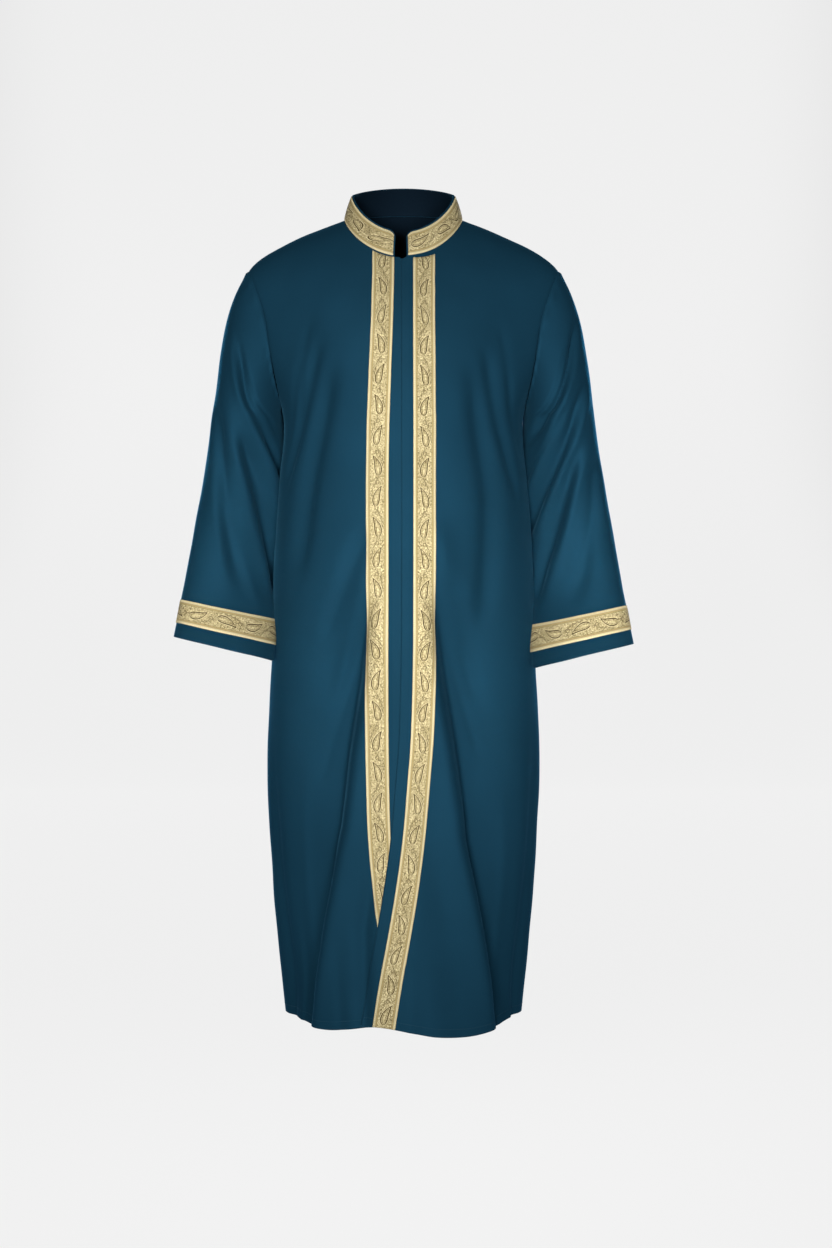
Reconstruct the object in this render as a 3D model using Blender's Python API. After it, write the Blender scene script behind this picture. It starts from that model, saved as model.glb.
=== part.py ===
"""Bisht cloak: a long robe with a stand collar, worn, each sewn piece a walled sheet of cloth.

Metres. +Z is up, the front faces -Y and +X is the wearer's left. The origin lies midway
between the two points where the shoulder seams meet the collar.

The body is one smooth surface. A point on it has an angle, in degrees from the centre front
and positive to the wearer's left, and a place along the side seam and the shoulder seam, from
the hem up to the neckline. The fronts and the back are stretches of that surface. Each sleeve
starts from the edge of its armhole, and the collar from the neckline.
"""

import math
from collections import namedtuple

import bmesh
import bpy
from mathutils import Vector

COLLECTION = "bisht_cloak"

# Cloth and seams
CLOTH_WALL = 0.0016
RIBBON_WALL = 0.0012
SEAM_GAP = 0.0003
# The wall's length at a sharp seam, and the least part of it across the cloth, in wall thicknesses
MITRE_LIMIT = 1.5
THINNEST = 0.5

# Places along the side and shoulder seams, measured up from the hem
PIT = 0.920
SHOULDER_TIP = 1.140
NECK = 1.310

Level = namedtuple(
    "Level",
    "along side_z front_z back_z half_width reach front_depth back_depth squareness fall",
)
BODY_LEVELS = (
    Level(0.000, -1.197, -1.202, -1.196, 0.180, 0.000, 0.158, 0.150, 2.10, 2.0),
    Level(0.140, -1.057, -1.061, -1.057, 0.194, 0.000, 0.157, 0.150, 2.12, 2.0),
    Level(0.380, -0.817, -0.820, -0.817, 0.207, 0.000, 0.155, 0.149, 2.15, 2.0),
    Level(0.550, -0.647, -0.650, -0.647, 0.193, 0.000, 0.151, 0.142, 2.20, 2.0),
    Level(0.680, -0.517, -0.522, -0.517, 0.189, 0.000, 0.149, 0.130, 2.22, 2.0),
    Level(0.810, -0.387, -0.400, -0.392, 0.184, 0.000, 0.141, 0.123, 2.22, 2.0),
    Level(0.870, -0.327, -0.350, -0.336, 0.180, 0.000, 0.137, 0.123, 2.22, 2.0),
    Level(PIT, -0.277, -0.308, -0.292, 0.177, 0.005, 0.135, 0.124, 2.20, 2.0),
    Level(0.975, -0.222, -0.271, -0.248, 0.181, 0.034, 0.133, 0.125, 2.15, 2.0),
    Level(1.030, -0.168, -0.235, -0.205, 0.183, 0.057, 0.131, 0.125, 2.10, 2.0),
    Level(SHOULDER_TIP, -0.075, -0.165, -0.120, 0.178, 0.059, 0.121, 0.119, 2.00, 2.0),
    Level(1.225, -0.026, -0.110, -0.050, 0.141, 0.014, 0.101, 0.102, 1.95, 1.8),
    Level(NECK, 0.000, -0.061, 0.013, 0.0886, 0.000, 0.075, 0.072, 2.00, 1.4),
)
REACH_FROM = 44.0
EASE = 0.032
SIDE = 90.0

# Armholes: how far each reaches past the side, in degrees round the body
FRONT_BITE = 21.0
BACK_BITE = 26.0

# Front edges: a height, the edge of the over front and the edge of the under front
FrontEdge = namedtuple("FrontEdge", "height over under")
FRONT_EDGES = (
    FrontEdge(-1.210, -0.062, 0.042),
    FrontEdge(-1.130, -0.050, 0.032),
    FrontEdge(-1.055, -0.037, 0.019),
    FrontEdge(-0.985, -0.026, 0.010),
    FrontEdge(-0.915, -0.017, 0.005),
    FrontEdge(-0.845, -0.011, 0.003),
    FrontEdge(-0.760, -0.005, 0.002),
    FrontEdge(-0.600, -0.002, 0.002),
    FrontEdge(-0.040, -0.002, 0.002),
)
NOTCH_DEPTH = 0.008
NOTCH_RISE = 0.040

# The hem's line round the front: an angle, and how far each front hangs lower there
HemLine = namedtuple("HemLine", "angle over under")
HEM_LINE = (
    HemLine(-90, 0.0000, 0.0000),
    HemLine(-62, 0.0000, 0.0025),
    HemLine(-38, 0.0000, 0.0050),
    HemLine(-20, -0.0060, -0.0020),
    HemLine(-8, -0.0045, -0.0060),
    HemLine(5, 0.0030, -0.0060),
    HemLine(16, 0.0100, -0.0060),
    HemLine(33, 0.0135, -0.0030),
    HemLine(52, 0.0080, 0.0000),
    HemLine(72, 0.0020, 0.0000),
    HemLine(90, 0.0000, 0.0000),
)
HEM_LINE_RISE = 0.300

# How far the over front stands off the body where it laps, and the under front sinks below it
Lap = namedtuple("Lap", "height lift tuck")
LAPS = (
    Lap(-1.210, 0.0048, 0.0040),
    Lap(-0.930, 0.0048, 0.0035),
    Lap(-0.780, 0.0030, 0.0005),
    Lap(-0.040, 0.0028, 0.0000),
)
LIFT_FADE = 0.050
TUCK_FADE = 0.030

# Ribbons
FRONT_BAND_WIDTH = 0.032
CUFF_BAND_INSET = 0.022
CUFF_BAND_WIDTH = 0.036
BAND_TOP = 0.006
CUFF_BAND_ROWS = slice(-4, -1)

# How much further from its edge the under front's ribbon lies below the chest
UNDER_BAND_DRIFT = 0.008
DRIFT_FROM = -0.400
DRIFT_TO = -0.050

# How far the columns nearest a front's edge lie from it: the collar starts at one of them, and
# the ribbon lies between two of them
Inset = namedtuple("Inset", "columns collar_from band_from")
INSETS = {
    1: Inset((0.0, 0.008, 0.012, 0.017, 0.0335, 0.017 + FRONT_BAND_WIDTH), 1, 3),
    -1: Inset((0.0, 0.008, 0.0155, 0.0195, 0.032, 0.0155 + FRONT_BAND_WIDTH), 2, 2),
}

# Collar
COLLAR_HEIGHT = 0.041
COLLAR_TOP = Level(NECK + COLLAR_HEIGHT, 0.038, -0.021, 0.053, 0.0765, 0.0, 0.061, 0.058, 2.05, 1.4)
COLLAR_CORNER_RADIUS = 0.012
COLLAR_ROWS = (0.0, 0.05, 0.5, 0.93, 1.0)
COLLAR_BAND_ROWS = slice(1, 4)
COLLAR_BULGE = 0.0012

# Sleeves: rings below the armhole, for the wearer's left arm
Cuff = namedtuple("Cuff", "drop spread")
CUFFS = {-1: Cuff(0.0, 0.0), 1: Cuff(0.011, 0.001)}
CUFF_CHANGE_FROM = 0.150
Station = namedtuple(
    "Station",
    "down centre_x centre_y centre_z half_width half_depth skew cant lean squareness",
)
SLEEVE_STATIONS = (
    Station(0.000, 0.2338, 0.002, -0.290, 0.0535, 0.078, 0.026, 10.0, 0.0, 2.15),
    Station(0.100, 0.2405, -0.002, -0.388, 0.0607, 0.073, 0.044, 10.5, 1.0, 2.10),
    Station(0.195, 0.2533, -0.012, -0.480, 0.0640, 0.068, 0.050, 11.0, 2.0, 2.05),
    Station(0.285, 0.2628, -0.034, -0.568, 0.0695, 0.062, 0.040, 12.5, 3.0, 1.95),
    Station(0.362, 0.2680, -0.072, -0.642, 0.0772, 0.055, -0.002, 13.5, 4.0, 1.80),
)
SLEEVE_LENGTH = 0.362
CAP_SWELL = Vector((0.33, 0.0, 0.22))
CAP_HEIGHT = 0.200
CAP_PLAIN = 0.040

# Folds of the body: angle and height at the top, the middle and the foot, how wide each is on
# the side near the centre front and on the far side, and its depth
Fold = namedtuple("Fold", "top top_z middle middle_z foot foot_z near far depth")
BODY_FOLDS = (
    # under front
    Fold(-14, -0.55, -28, -0.90, -81, -1.60, 0.015, 0.034, -0.0125),
    Fold(-12, -0.62, -22, -0.95, -65, -1.60, 0.009, 0.009, 0.0035),
    Fold(-9, -0.90, -17, -1.05, -21, -1.60, 0.011, 0.013, -0.0065),
    Fold(-15, -0.45, -26, -0.54, -40, -0.64, 0.015, 0.015, -0.0045),
    Fold(-15, -0.52, -24, -0.61, -34, -0.72, 0.013, 0.013, 0.0030),
    Fold(-34, -0.20, -46, -0.38, -54, -0.56, 0.020, 0.026, -0.0060),
    Fold(-40, -0.17, -54, -0.29, -70, -0.42, 0.016, 0.016, -0.0035),
    Fold(-70, -0.72, -72, -0.98, -77, -1.70, 0.017, 0.020, -0.0045),
    # over front
    Fold(13, -0.56, 29, -0.92, 84, -1.60, 0.015, 0.036, -0.0130),
    Fold(11, -0.62, 23, -0.98, 79, -1.60, 0.009, 0.009, 0.0035),
    Fold(15, -0.44, 21, -0.55, 31, -0.66, 0.015, 0.015, 0.0035),
    Fold(17, -0.50, 27, -0.60, 38, -0.74, 0.015, 0.015, -0.0040),
    Fold(33, -0.20, 42, -0.42, 37, -0.64, 0.020, 0.026, -0.0060),
    Fold(39, -0.18, 51, -0.31, 65, -0.44, 0.016, 0.016, -0.0035),
    Fold(71, -0.68, 73, -0.95, 79, -1.70, 0.017, 0.020, -0.0045),
    # back
    Fold(171, -0.46, 176, -0.80, 179, -1.60, 0.028, 0.028, -0.0110),
    Fold(152, -0.22, 149, -0.66, 139, -1.60, 0.030, 0.018, -0.0115),
    Fold(162, -0.60, 159, -0.95, 153, -1.60, 0.017, 0.017, 0.0070),
    Fold(-150, -0.28, -151, -0.68, -145, -1.60, 0.029, 0.018, -0.0110),
    Fold(-164, -0.52, -161, -0.90, -157, -1.60, 0.017, 0.017, 0.0070),
    Fold(118, -0.20, 129, -0.40, 139, -0.60, 0.019, 0.019, -0.0065),
    Fold(-116, -0.18, -128, -0.37, -141, -0.56, 0.018, 0.018, -0.0060),
    Fold(117, -0.60, 115, -0.90, 113, -1.60, 0.022, 0.022, -0.0095),
    Fold(-113, -0.64, -116, -0.90, -120, -1.60, 0.023, 0.023, -0.0095),
)
BODY_RADIUS = 0.190
FOLD_FADE = 0.22

# Folds of the sleeves: turn and place at the start and the end, width and depth
SleeveFold = namedtuple("SleeveFold", "start start_at end end_at width depth")
SLEEVE_FOLDS = {
    -1: (
        SleeveFold(46, -0.13, 160, 0.12, 0.015, -0.0080),
        SleeveFold(92, -0.06, 168, 0.24, 0.015, 0.0055),
        SleeveFold(28, -0.02, 118, 0.32, 0.019, -0.0075),
        SleeveFold(235, -0.10, 320, 0.16, 0.019, -0.0075),
        SleeveFold(200, 0.10, 290, 0.36, 0.018, -0.0060),
    ),
    1: (
        SleeveFold(20, -0.14, 150, 0.05, 0.014, -0.0080),
        SleeveFold(34, -0.05, 165, 0.20, 0.015, -0.0075),
        SleeveFold(60, -0.08, 150, 0.14, 0.012, 0.0055),
        SleeveFold(25, 0.06, 105, 0.35, 0.019, -0.0070),
        SleeveFold(228, -0.08, 322, 0.18, 0.018, -0.0075),
        SleeveFold(205, 0.12, 285, 0.36, 0.018, -0.0060),
    ),
}
SLEEVE_RADIUS = 0.068

# Divisions
SKIRT_ROWS = 17
ROW_UNDER_PIT = 0.014
ARMHOLE_ROWS = 11
SHOULDER_ROWS = 3
FRONT_COLUMNS = 14
BACK_COLUMNS = 26
CAP_ROWS = 5
ARM_ROWS = 10
ANGLE_STEP = 0.8
TURN_STEP = 2.0
ALONG_STEP = 0.004
RISE_STEP = 0.05
CLEARLY_SHORTER = 0.75
CREASE_ANGLE = 50.0

# Colours and roughness
BLUE_CLOTH = (24, 60, 82)
GOLD_RIBBON = (205, 190, 150)
CLOTH_ROUGHNESS = 0.6
RIBBON_ROUGHNESS = 0.5


def smooth_step(low, high, value):
    """Rise smoothly from 0 at low to 1 at high."""
    share = min(max((value - low) / (high - low), 0.0), 1.0)
    return share * share * (3.0 - 2.0 * share)


def read_table(table, place):
    """Read a table at a place between its rows, on a smooth curve through them."""
    rising = table if table[0][0] < table[-1][0] else table[::-1]
    place = min(max(place, rising[0][0]), rising[-1][0])
    last = len(rising) - 2
    lower = max(index for index in range(last + 1) if rising[index][0] <= place)
    before = rising[max(lower - 1, 0)]
    start, end = rising[lower], rising[lower + 1]
    after = rising[min(lower + 2, last + 1)]
    span = end[0] - start[0]
    share = (place - start[0]) / span
    values = []
    for column in range(len(start)):
        slope_in = (end[column] - before[column]) / (end[0] - before[0])
        slope_out = (after[column] - start[column]) / (after[0] - start[0])
        values.append(
            start[column] * (1 + 2 * share) * (1 - share) ** 2
            + end[column] * (3 - 2 * share) * share**2
            + slope_in * span * share * (1 - share) ** 2
            - slope_out * span * share**2 * (1 - share)
        )
    return type(start)(*values)


def rounded(squareness, turn):
    """Return the cosine and the sine of a turn, pushed out to a rounded box."""
    cosine = math.cos(math.radians(turn))
    sine = math.sin(math.radians(turn))
    reach = (abs(cosine) ** squareness + abs(sine) ** squareness) ** (-1.0 / squareness)
    return cosine * reach, sine * reach


def angle_between(angle, other):
    """Return the shorter way round from one angle to another."""
    return (angle - other + 180.0) % 360.0 - 180.0


def ring_point(ring, angle):
    """Return the point of a level of the body, or of the collar's top, at an angle."""
    ahead, across = rounded(ring.squareness, angle)
    faces_front = ahead >= 0.0
    depth = ring.front_depth if faces_front else ring.back_depth
    height = ring.front_z if faces_front else ring.back_z
    fall = abs(math.cos(math.radians(angle))) ** ring.fall
    off_side = abs(abs(angle_between(angle, 0.0)) - SIDE)
    half_width = ring.half_width + ring.reach * smooth_step(SIDE - REACH_FROM, 0.0, off_side)
    return Vector((
        half_width * across,
        -depth * ahead,
        ring.side_z + (height - ring.side_z) * fall,
    ))


def normal_of(surface, first, second, first_step, second_step):
    """Return the outward direction of a surface of two coordinates."""
    along_first = surface(first + first_step, second) - surface(first - first_step, second)
    along_second = surface(first, second + second_step) - surface(first, second - second_step)
    return along_first.cross(along_second).normalized()


def body_folds(angle, height):
    """Return how far the folds push the body's cloth out."""
    push = 0.0
    for fold in BODY_FOLDS:
        path = (
            (fold.foot_z, fold.foot),
            (fold.middle_z, fold.middle),
            (fold.top_z, fold.top),
        )
        if not fold.foot_z <= height <= fold.top_z:
            continue
        if height < fold.middle_z:
            start, end = path[0], path[1]
        else:
            start, end = path[1], path[2]
        share = (height - start[0]) / (end[0] - start[0])
        centre = start[1] + (end[1] - start[1]) * share
        share = (fold.top_z - height) / (fold.top_z - fold.foot_z)
        fade = smooth_step(0.0, FOLD_FADE, share) * smooth_step(0.0, FOLD_FADE, 1.0 - share)
        beyond = angle_between(angle, centre) * math.copysign(1.0, centre)
        width = fold.far if beyond > 0 else fold.near
        across = math.radians(beyond) * BODY_RADIUS / width
        push += fold.depth * fade * math.exp(-across * across)
    return push


def lap_push(place, lapping):
    """Return how far a front is moved by the lap of one front over the other."""
    if lapping == 0:
        return 0.0
    edges = read_table(FRONT_EDGES, place.z)
    lap = read_table(LAPS, place.z)
    if lapping > 0:
        return lap.lift * (1.0 - smooth_step(edges.under, edges.under + LIFT_FADE, place.x))
    return -lap.tuck * smooth_step(edges.over, edges.over + TUCK_FADE, place.x)


def body_surface(lapping):
    """Return the folded surface of the body: 1 for the over front, -1 for the under one."""

    def smooth(angle, along):
        ease = max(min(EASE, along, NECK - along), 0.0)
        places = (along - ease, along, along, along + ease)
        points = [ring_point(read_table(BODY_LEVELS, place), angle) for place in places]
        return sum(points, Vector()) / len(points)

    def folded(angle, along):
        place = smooth(angle, along)
        outward = normal_of(smooth, angle, along, ANGLE_STEP, ALONG_STEP)
        if lapping != 0:
            line = read_table(HEM_LINE, angle)
            drop = line.over if lapping > 0 else line.under
            place.z -= drop * (1.0 - smooth_step(0.0, HEM_LINE_RISE, along))
        push = body_folds(angle, place.z) + lap_push(place, lapping)
        return place + outward * push

    return folded


def armhole_place(side, turn):
    """Return the angle and the place along the seams of an armhole's edge.

    The turn goes from the shoulder tip, by the front, to the pit, and by the back up again.
    """
    cosine = math.cos(math.radians(turn))
    sine = math.sin(math.radians(turn))
    bite = FRONT_BITE if sine > 0 else BACK_BITE
    along = PIT + (SHOULDER_TIP - PIT) * (1.0 + cosine) / 2.0
    return side * (SIDE - bite * sine), along


def sleeve_ring(side, turn, down):
    """Return the point of a sleeve's ring below the armhole."""
    station = read_table(SLEEVE_STATIONS, down)
    cuff = CUFFS[side]
    low = smooth_step(CUFF_CHANGE_FROM, SLEEVE_LENGTH, down)
    outward, ahead = rounded(station.squareness, turn)
    cant = math.radians(station.cant)
    lean = math.radians(station.lean)
    half_width = station.half_width + cuff.spread * low
    x = station.centre_x + half_width * outward * math.cos(cant)
    y = station.centre_y - station.half_depth * ahead * math.cos(lean)
    y += station.skew * (1.0 - outward) / 2.0
    z = station.centre_z - cuff.drop * low
    z += half_width * outward * math.sin(cant) + station.half_depth * ahead * math.sin(lean)
    return Vector((side * x, y, z))


def sleeve_folds(side, turn, down):
    """Return how far the folds push a sleeve's cloth out."""
    push = 0.0
    for fold in SLEEVE_FOLDS[side]:
        share = (down - fold.start_at) / (fold.end_at - fold.start_at)
        if not 0.0 <= share <= 1.0:
            continue
        centre = fold.start + (fold.end - fold.start) * share
        fade = smooth_step(0.0, FOLD_FADE, share) * smooth_step(0.0, FOLD_FADE, 1.0 - share)
        across = math.radians(angle_between(turn, centre)) * SLEEVE_RADIUS / fold.width
        push += fold.depth * fade * math.exp(-across * across)
    return push


def sleeve_surface(side, armhole_point):
    """Return a sleeve's folded surface: below 0 it is the cap, above 0 the arm."""

    def smooth(turn, down):
        if down >= 0.0:
            return sleeve_ring(side, turn, down)
        share = 1.0 + down / CAP_HEIGHT
        start = armhole_point(turn)
        end = sleeve_ring(side, turn, 0.0)
        reach = end - start
        leaving = (sleeve_ring(side, turn, ALONG_STEP) - end).normalized() * reach.length
        top = max(math.cos(math.radians(turn)), 0.0)
        swell = Vector((side * CAP_SWELL.x, CAP_SWELL.y, CAP_SWELL.z)) * reach.length * top
        arriving = reach + swell
        return (
            start * (1 + 2 * share) * (1 - share) ** 2
            + end * (3 - 2 * share) * share**2
            + arriving * share * (1 - share) ** 2
            - leaving * share**2 * (1 - share)
        )

    def folded(turn, down):
        place = smooth(turn, down)
        outward = normal_of(smooth, turn, down, TURN_STEP, ALONG_STEP)
        fade = smooth_step(-CAP_HEIGHT, -CAP_HEIGHT + CAP_PLAIN, down)
        return place + side * outward * sleeve_folds(side, turn, down) * fade

    return folded


def seam_frame(first_normal, second_normal, direction):
    """Return the wall's direction at a seam and the direction across the seam."""
    together = first_normal + second_normal
    mitre = together.normalized()
    spread = 2.0 / max(together.length, 2.0 / MITRE_LIMIT)
    return mitre * spread, direction.cross(mitre).normalized()


def first_corner(corners):
    """Return which corner a tile is split from: the second, where that is clearly shorter."""
    usual = (corners[0] - corners[2]).length
    other = (corners[1] - corners[3]).length
    return 1 if other < CLEARLY_SHORTER * usual else 0


def tile_of(grid, row, column, beside):
    """Return the four corners of a tile of a grid."""
    return [grid[row][column], grid[row][beside], grid[row + 1][beside], grid[row + 1][column]]


def kept_thick(wall, outward):
    """Return a wall's direction at a sharp seam, kept from thinning the cloth too far."""
    return wall + outward * max(THINNEST - wall.dot(outward), 0.0)


def shell(name, outer, inner, closed, material):
    """Make a walled sheet from two matching grids of points, listed by rows."""
    rows, columns = len(outer), len(outer[0])
    mesh = bpy.data.meshes.new(name)
    form = bmesh.new()
    skins = [[[form.verts.new(point) for point in row] for row in grid] for grid in (outer, inner)]
    steps = columns if closed else columns - 1

    def tile(first, second, third, fourth):
        form.faces.new((first, second, third))
        form.faces.new((first, third, fourth))

    for row in range(rows - 1):
        for column in range(steps):
            beside = (column + 1) % columns
            start = first_corner(tile_of(outer, row, column, beside))
            for skin in skins:
                corners = tile_of(skin, row, column, beside)
                tile(*corners[start:], *corners[:start])
    for row in (0, rows - 1):
        for column in range(steps):
            beside = (column + 1) % columns
            near, far = skins[0][row], skins[1][row]
            tile(near[column], near[beside], far[beside], far[column])
    if not closed:
        for row in range(rows - 1):
            for column in (0, columns - 1):
                near, far = skins
                tile(near[row][column], near[row + 1][column], far[row + 1][column], far[row][column])
    bmesh.ops.recalc_face_normals(form, faces=form.faces)
    form.to_mesh(mesh)
    form.free()
    mesh.materials.append(material)
    mesh.shade_smooth()
    mesh.set_sharp_from_angle(angle=math.radians(CREASE_ANGLE))
    piece = bpy.data.objects.new(name, mesh)
    bpy.data.collections[COLLECTION].objects.link(piece)
    return piece


def moved(points, directions, distance):
    """Move a grid of points along a grid of directions."""
    return [
        [point + direction * distance for point, direction in zip(row, ways)]
        for row, ways in zip(points, directions)
    ]


def colour(red, green, blue):
    """Turn a colour as seen on a screen into a linear one."""
    return tuple(((value / 255 + 0.055) / 1.055) ** 2.4 for value in (red, green, blue)) + (1.0,)


def cloth_material(name, seen, roughness):
    """Make a plain cloth material."""
    material = bpy.data.materials.new(name)
    material.use_nodes = True
    shader = material.node_tree.nodes["Principled BSDF"]
    shader.inputs["Base Color"].default_value = colour(*seen)
    shader.inputs["Roughness"].default_value = roughness
    shader.inputs["Metallic"].default_value = 0.0
    return material


def body_rows():
    """Return the places along the seams where the body's rows of points lie."""
    skirt = [(PIT - ROW_UNDER_PIT) * row / (SKIRT_ROWS - 1) for row in range(SKIRT_ROWS)]
    armhole = [armhole_place(1, turn)[1] for turn in reversed(armhole_turns())]
    rise = (NECK - BAND_TOP - SHOULDER_TIP) / SHOULDER_ROWS
    shoulder = [SHOULDER_TIP + rise * (row + 1) for row in range(SHOULDER_ROWS)]
    return skirt + armhole + shoulder + [NECK]


def armhole_turns():
    """Return the turns of an armhole's points from the shoulder tip to the pit."""
    return [180.0 * row / ARMHOLE_ROWS for row in range(ARMHOLE_ROWS + 1)]


def armhole_bite(along, bite):
    """Return how many degrees an armhole takes off a panel at a place along the seams."""
    share = 2.0 * (along - PIT) / (SHOULDER_TIP - PIT) - 1.0
    return bite * math.sqrt(max(1.0 - share * share, 0.0))


def front_angles(side, along):
    """Return the angles of a front's columns, from its front edge to its side."""
    level = read_table(BODY_LEVELS, along)
    edges = read_table(FRONT_EDGES, level.front_z)
    edge = edges.over if side > 0 else edges.under
    drift = 0.0
    if side < 0:
        drift = UNDER_BAND_DRIFT * (1.0 - smooth_step(DRIFT_FROM, DRIFT_TO, level.front_z))
    angles = []
    for column, inset in enumerate(INSETS[side].columns):
        moved_in = inset + drift if column >= INSETS[side].band_from else inset
        angles.append(math.degrees(math.asin((edge + side * moved_in) / level.half_width)))
    far = side * (SIDE - armhole_bite(along, FRONT_BITE))
    near = angles[-1]
    angles += [near + (far - near) * step / FRONT_COLUMNS for step in range(1, FRONT_COLUMNS + 1)]
    return angles


def back_angles(along):
    """Return the angles of the back's columns, from the wearer's left side to the right."""
    near = SIDE + armhole_bite(along, BACK_BITE)
    far = 2.0 * (180.0 - near)
    return [near + far * step / BACK_COLUMNS for step in range(BACK_COLUMNS + 1)]


class Garment:
    """The cloak's surfaces, and the points and wall directions that its pieces share."""

    def __init__(self):
        self.rows = body_rows()
        self.surfaces = {lapping: body_surface(lapping) for lapping in (-1, 0, 1)}
        self.sleeves = {side: sleeve_surface(side, self.armhole_edge(side)) for side in (-1, 1)}

    def armhole_edge(self, side):
        """Return the function of an armhole's points round its turn."""
        return lambda turn: self.surfaces[0](*armhole_place(side, turn))

    def body_normal(self, lapping, angle, along):
        """Return the body's outward direction."""
        return normal_of(self.surfaces[lapping], angle, along, ANGLE_STEP, ALONG_STEP)

    def sleeve_normal(self, side, turn, down):
        """Return a sleeve's outward direction."""
        return side * normal_of(self.sleeves[side], turn, down, TURN_STEP, ALONG_STEP)

    def armhole_seam(self, side, turn):
        """Return the wall's direction and the way to the body at a point of an armhole."""
        edge = self.armhole_edge(side)
        direction = (edge(turn + TURN_STEP) - edge(turn - TURN_STEP)) * side
        angle, along = armhole_place(side, turn)
        return seam_frame(
            self.body_normal(0, angle, along),
            self.sleeve_normal(side, turn, ALONG_STEP - CAP_HEIGHT),
            direction,
        )

    def collar_surface(self, lapping):
        """Return the collar's surface, from the neckline at 0 to its top edge at 1."""
        body = self.surfaces[lapping]

        def surface(angle, rise):
            foot = body(angle, NECK)
            top = ring_point(COLLAR_TOP, angle)
            bulge = COLLAR_BULGE * 4.0 * rise * (1.0 - rise)
            outward = Vector((foot.x, foot.y, 0.0)).normalized()
            return foot + (top - foot) * rise + outward * bulge

        return surface

    def collar_normal(self, lapping, angle, rise):
        """Return the collar's outward direction."""
        return normal_of(self.collar_surface(lapping), angle, rise, ANGLE_STEP, RISE_STEP)

    def neck_seam(self, lapping, angle):
        """Return the wall's direction and the way to the body at a point of the neckline."""
        body = self.surfaces[lapping]
        direction = body(angle + ANGLE_STEP, NECK) - body(angle - ANGLE_STEP, NECK)
        return seam_frame(
            self.body_normal(lapping, angle, NECK),
            self.collar_normal(lapping, angle, 0.0),
            direction,
        )

    def body_spot(self, lapping, angle, along, towards, at_side):
        """Return a panel's point and its wall's direction, set back from the seams it meets.

        towards is 1 for a panel whose seam lies at larger angles and -1 for the other way.
        """
        point = self.surfaces[lapping](angle, along)
        wall = self.body_normal(lapping, angle, along)
        back_off = SEAM_GAP / 2
        if at_side:
            on_armhole = PIT <= along <= SHOULDER_TIP
            if on_armhole:
                mitre, inward = self.side_seam_at_armhole(angle, along)
                wall = kept_thick(mitre, wall)
                point = point + inward * back_off
            if not PIT < along < SHOULDER_TIP:
                surface = self.surfaces[lapping]
                step = surface(angle + ANGLE_STEP, along) - surface(angle - ANGLE_STEP, along)
                point = point - step.normalized() * towards * back_off
        if along == NECK:
            wall, downward = self.neck_seam(lapping, angle)
            point = point + downward * back_off
        return point, wall

    def side_seam_at_armhole(self, angle, along):
        """Return the seam's wall direction and the way to the body where a panel meets it."""
        side = 1 if 0 < angle < 180 else -1
        share = 2.0 * (along - PIT) / (SHOULDER_TIP - PIT) - 1.0
        turn = math.degrees(math.acos(min(max(share, -1.0), 1.0)))
        faces_back = abs(angle_between(angle, 0.0)) > SIDE
        return self.armhole_seam(side, 360.0 - turn if faces_back else turn)


def grid_of(spots):
    """Part a grid of spots into its points and its wall directions."""
    points = [[spot[0] for spot in row] for row in spots]
    walls = [[spot[1] for spot in row] for row in spots]
    return points, walls


def front_spots(garment, side):
    """Return the grid of spots of a front, its notch at the neck cut away."""
    spots = []
    for along in garment.rows:
        angles = front_angles(side, along)
        row = []
        for column, angle in enumerate(angles):
            notch = NOTCH_DEPTH if column == 0 else 0.0
            lowered = along - notch * smooth_step(NECK - NOTCH_RISE, NECK, along)
            at_side = column == len(angles) - 1
            row.append(garment.body_spot(side, angle, lowered, side, at_side))
        spots.append(row)
    return spots


def make_front(garment, side, name, cloth):
    """Make a front, and return its spots for the ribbon that lies on it."""
    spots = front_spots(garment, side)
    points, walls = grid_of(spots)
    shell(name, points, moved(points, walls, -CLOTH_WALL), False, cloth)
    return spots


def make_back(garment, cloth):
    """Make the back."""
    spots = []
    for along in garment.rows:
        angles = back_angles(along)
        last = len(angles) - 1
        row = []
        for column, angle in enumerate(angles):
            towards = -1 if column == 0 else 1
            row.append(garment.body_spot(0, angle, along, towards, column in (0, last)))
        spots.append(row)
    points, walls = grid_of(spots)
    shell("back", points, moved(points, walls, -CLOTH_WALL), False, cloth)


def make_ribbon(name, spots, closed, ribbon):
    """Lay a ribbon on the spots of the piece that it is sewn to."""
    points, walls = grid_of(spots)
    under = moved(points, walls, SEAM_GAP)
    over = moved(points, walls, SEAM_GAP + RIBBON_WALL)
    shell(name, over, under, closed, ribbon)


def sleeve_downs():
    """Return the places of a sleeve's rows, from the armhole to the cuff's edge."""
    band_low = SLEEVE_LENGTH - CUFF_BAND_INSET
    band_high = band_low - CUFF_BAND_WIDTH
    cap = [-CAP_HEIGHT * (1.0 - row / CAP_ROWS) for row in range(CAP_ROWS)]
    arm = [band_high * row / ARM_ROWS for row in range(ARM_ROWS)]
    return cap + arm + [band_high, (band_high + band_low) / 2, band_low, SLEEVE_LENGTH]


def make_sleeve(garment, side, name, cloth):
    """Make a sleeve, and return its spots for the ribbon round its cuff."""
    surface = garment.sleeves[side]
    half = armhole_turns()
    turns = half + [360.0 - turn for turn in half[-2:0:-1]]
    spots = []
    for row, down in enumerate(sleeve_downs()):
        ring = []
        for turn in turns:
            point = surface(turn, down)
            wall = garment.sleeve_normal(side, turn, down)
            if row == 0:
                mitre, to_body = garment.armhole_seam(side, turn)
                wall = kept_thick(mitre, wall)
                point = point - to_body * SEAM_GAP / 2
            ring.append((point, wall))
        spots.append(ring)
    points, walls = grid_of(spots)
    shell(name, points, moved(points, walls, -CLOTH_WALL), True, cloth)
    return spots


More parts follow.
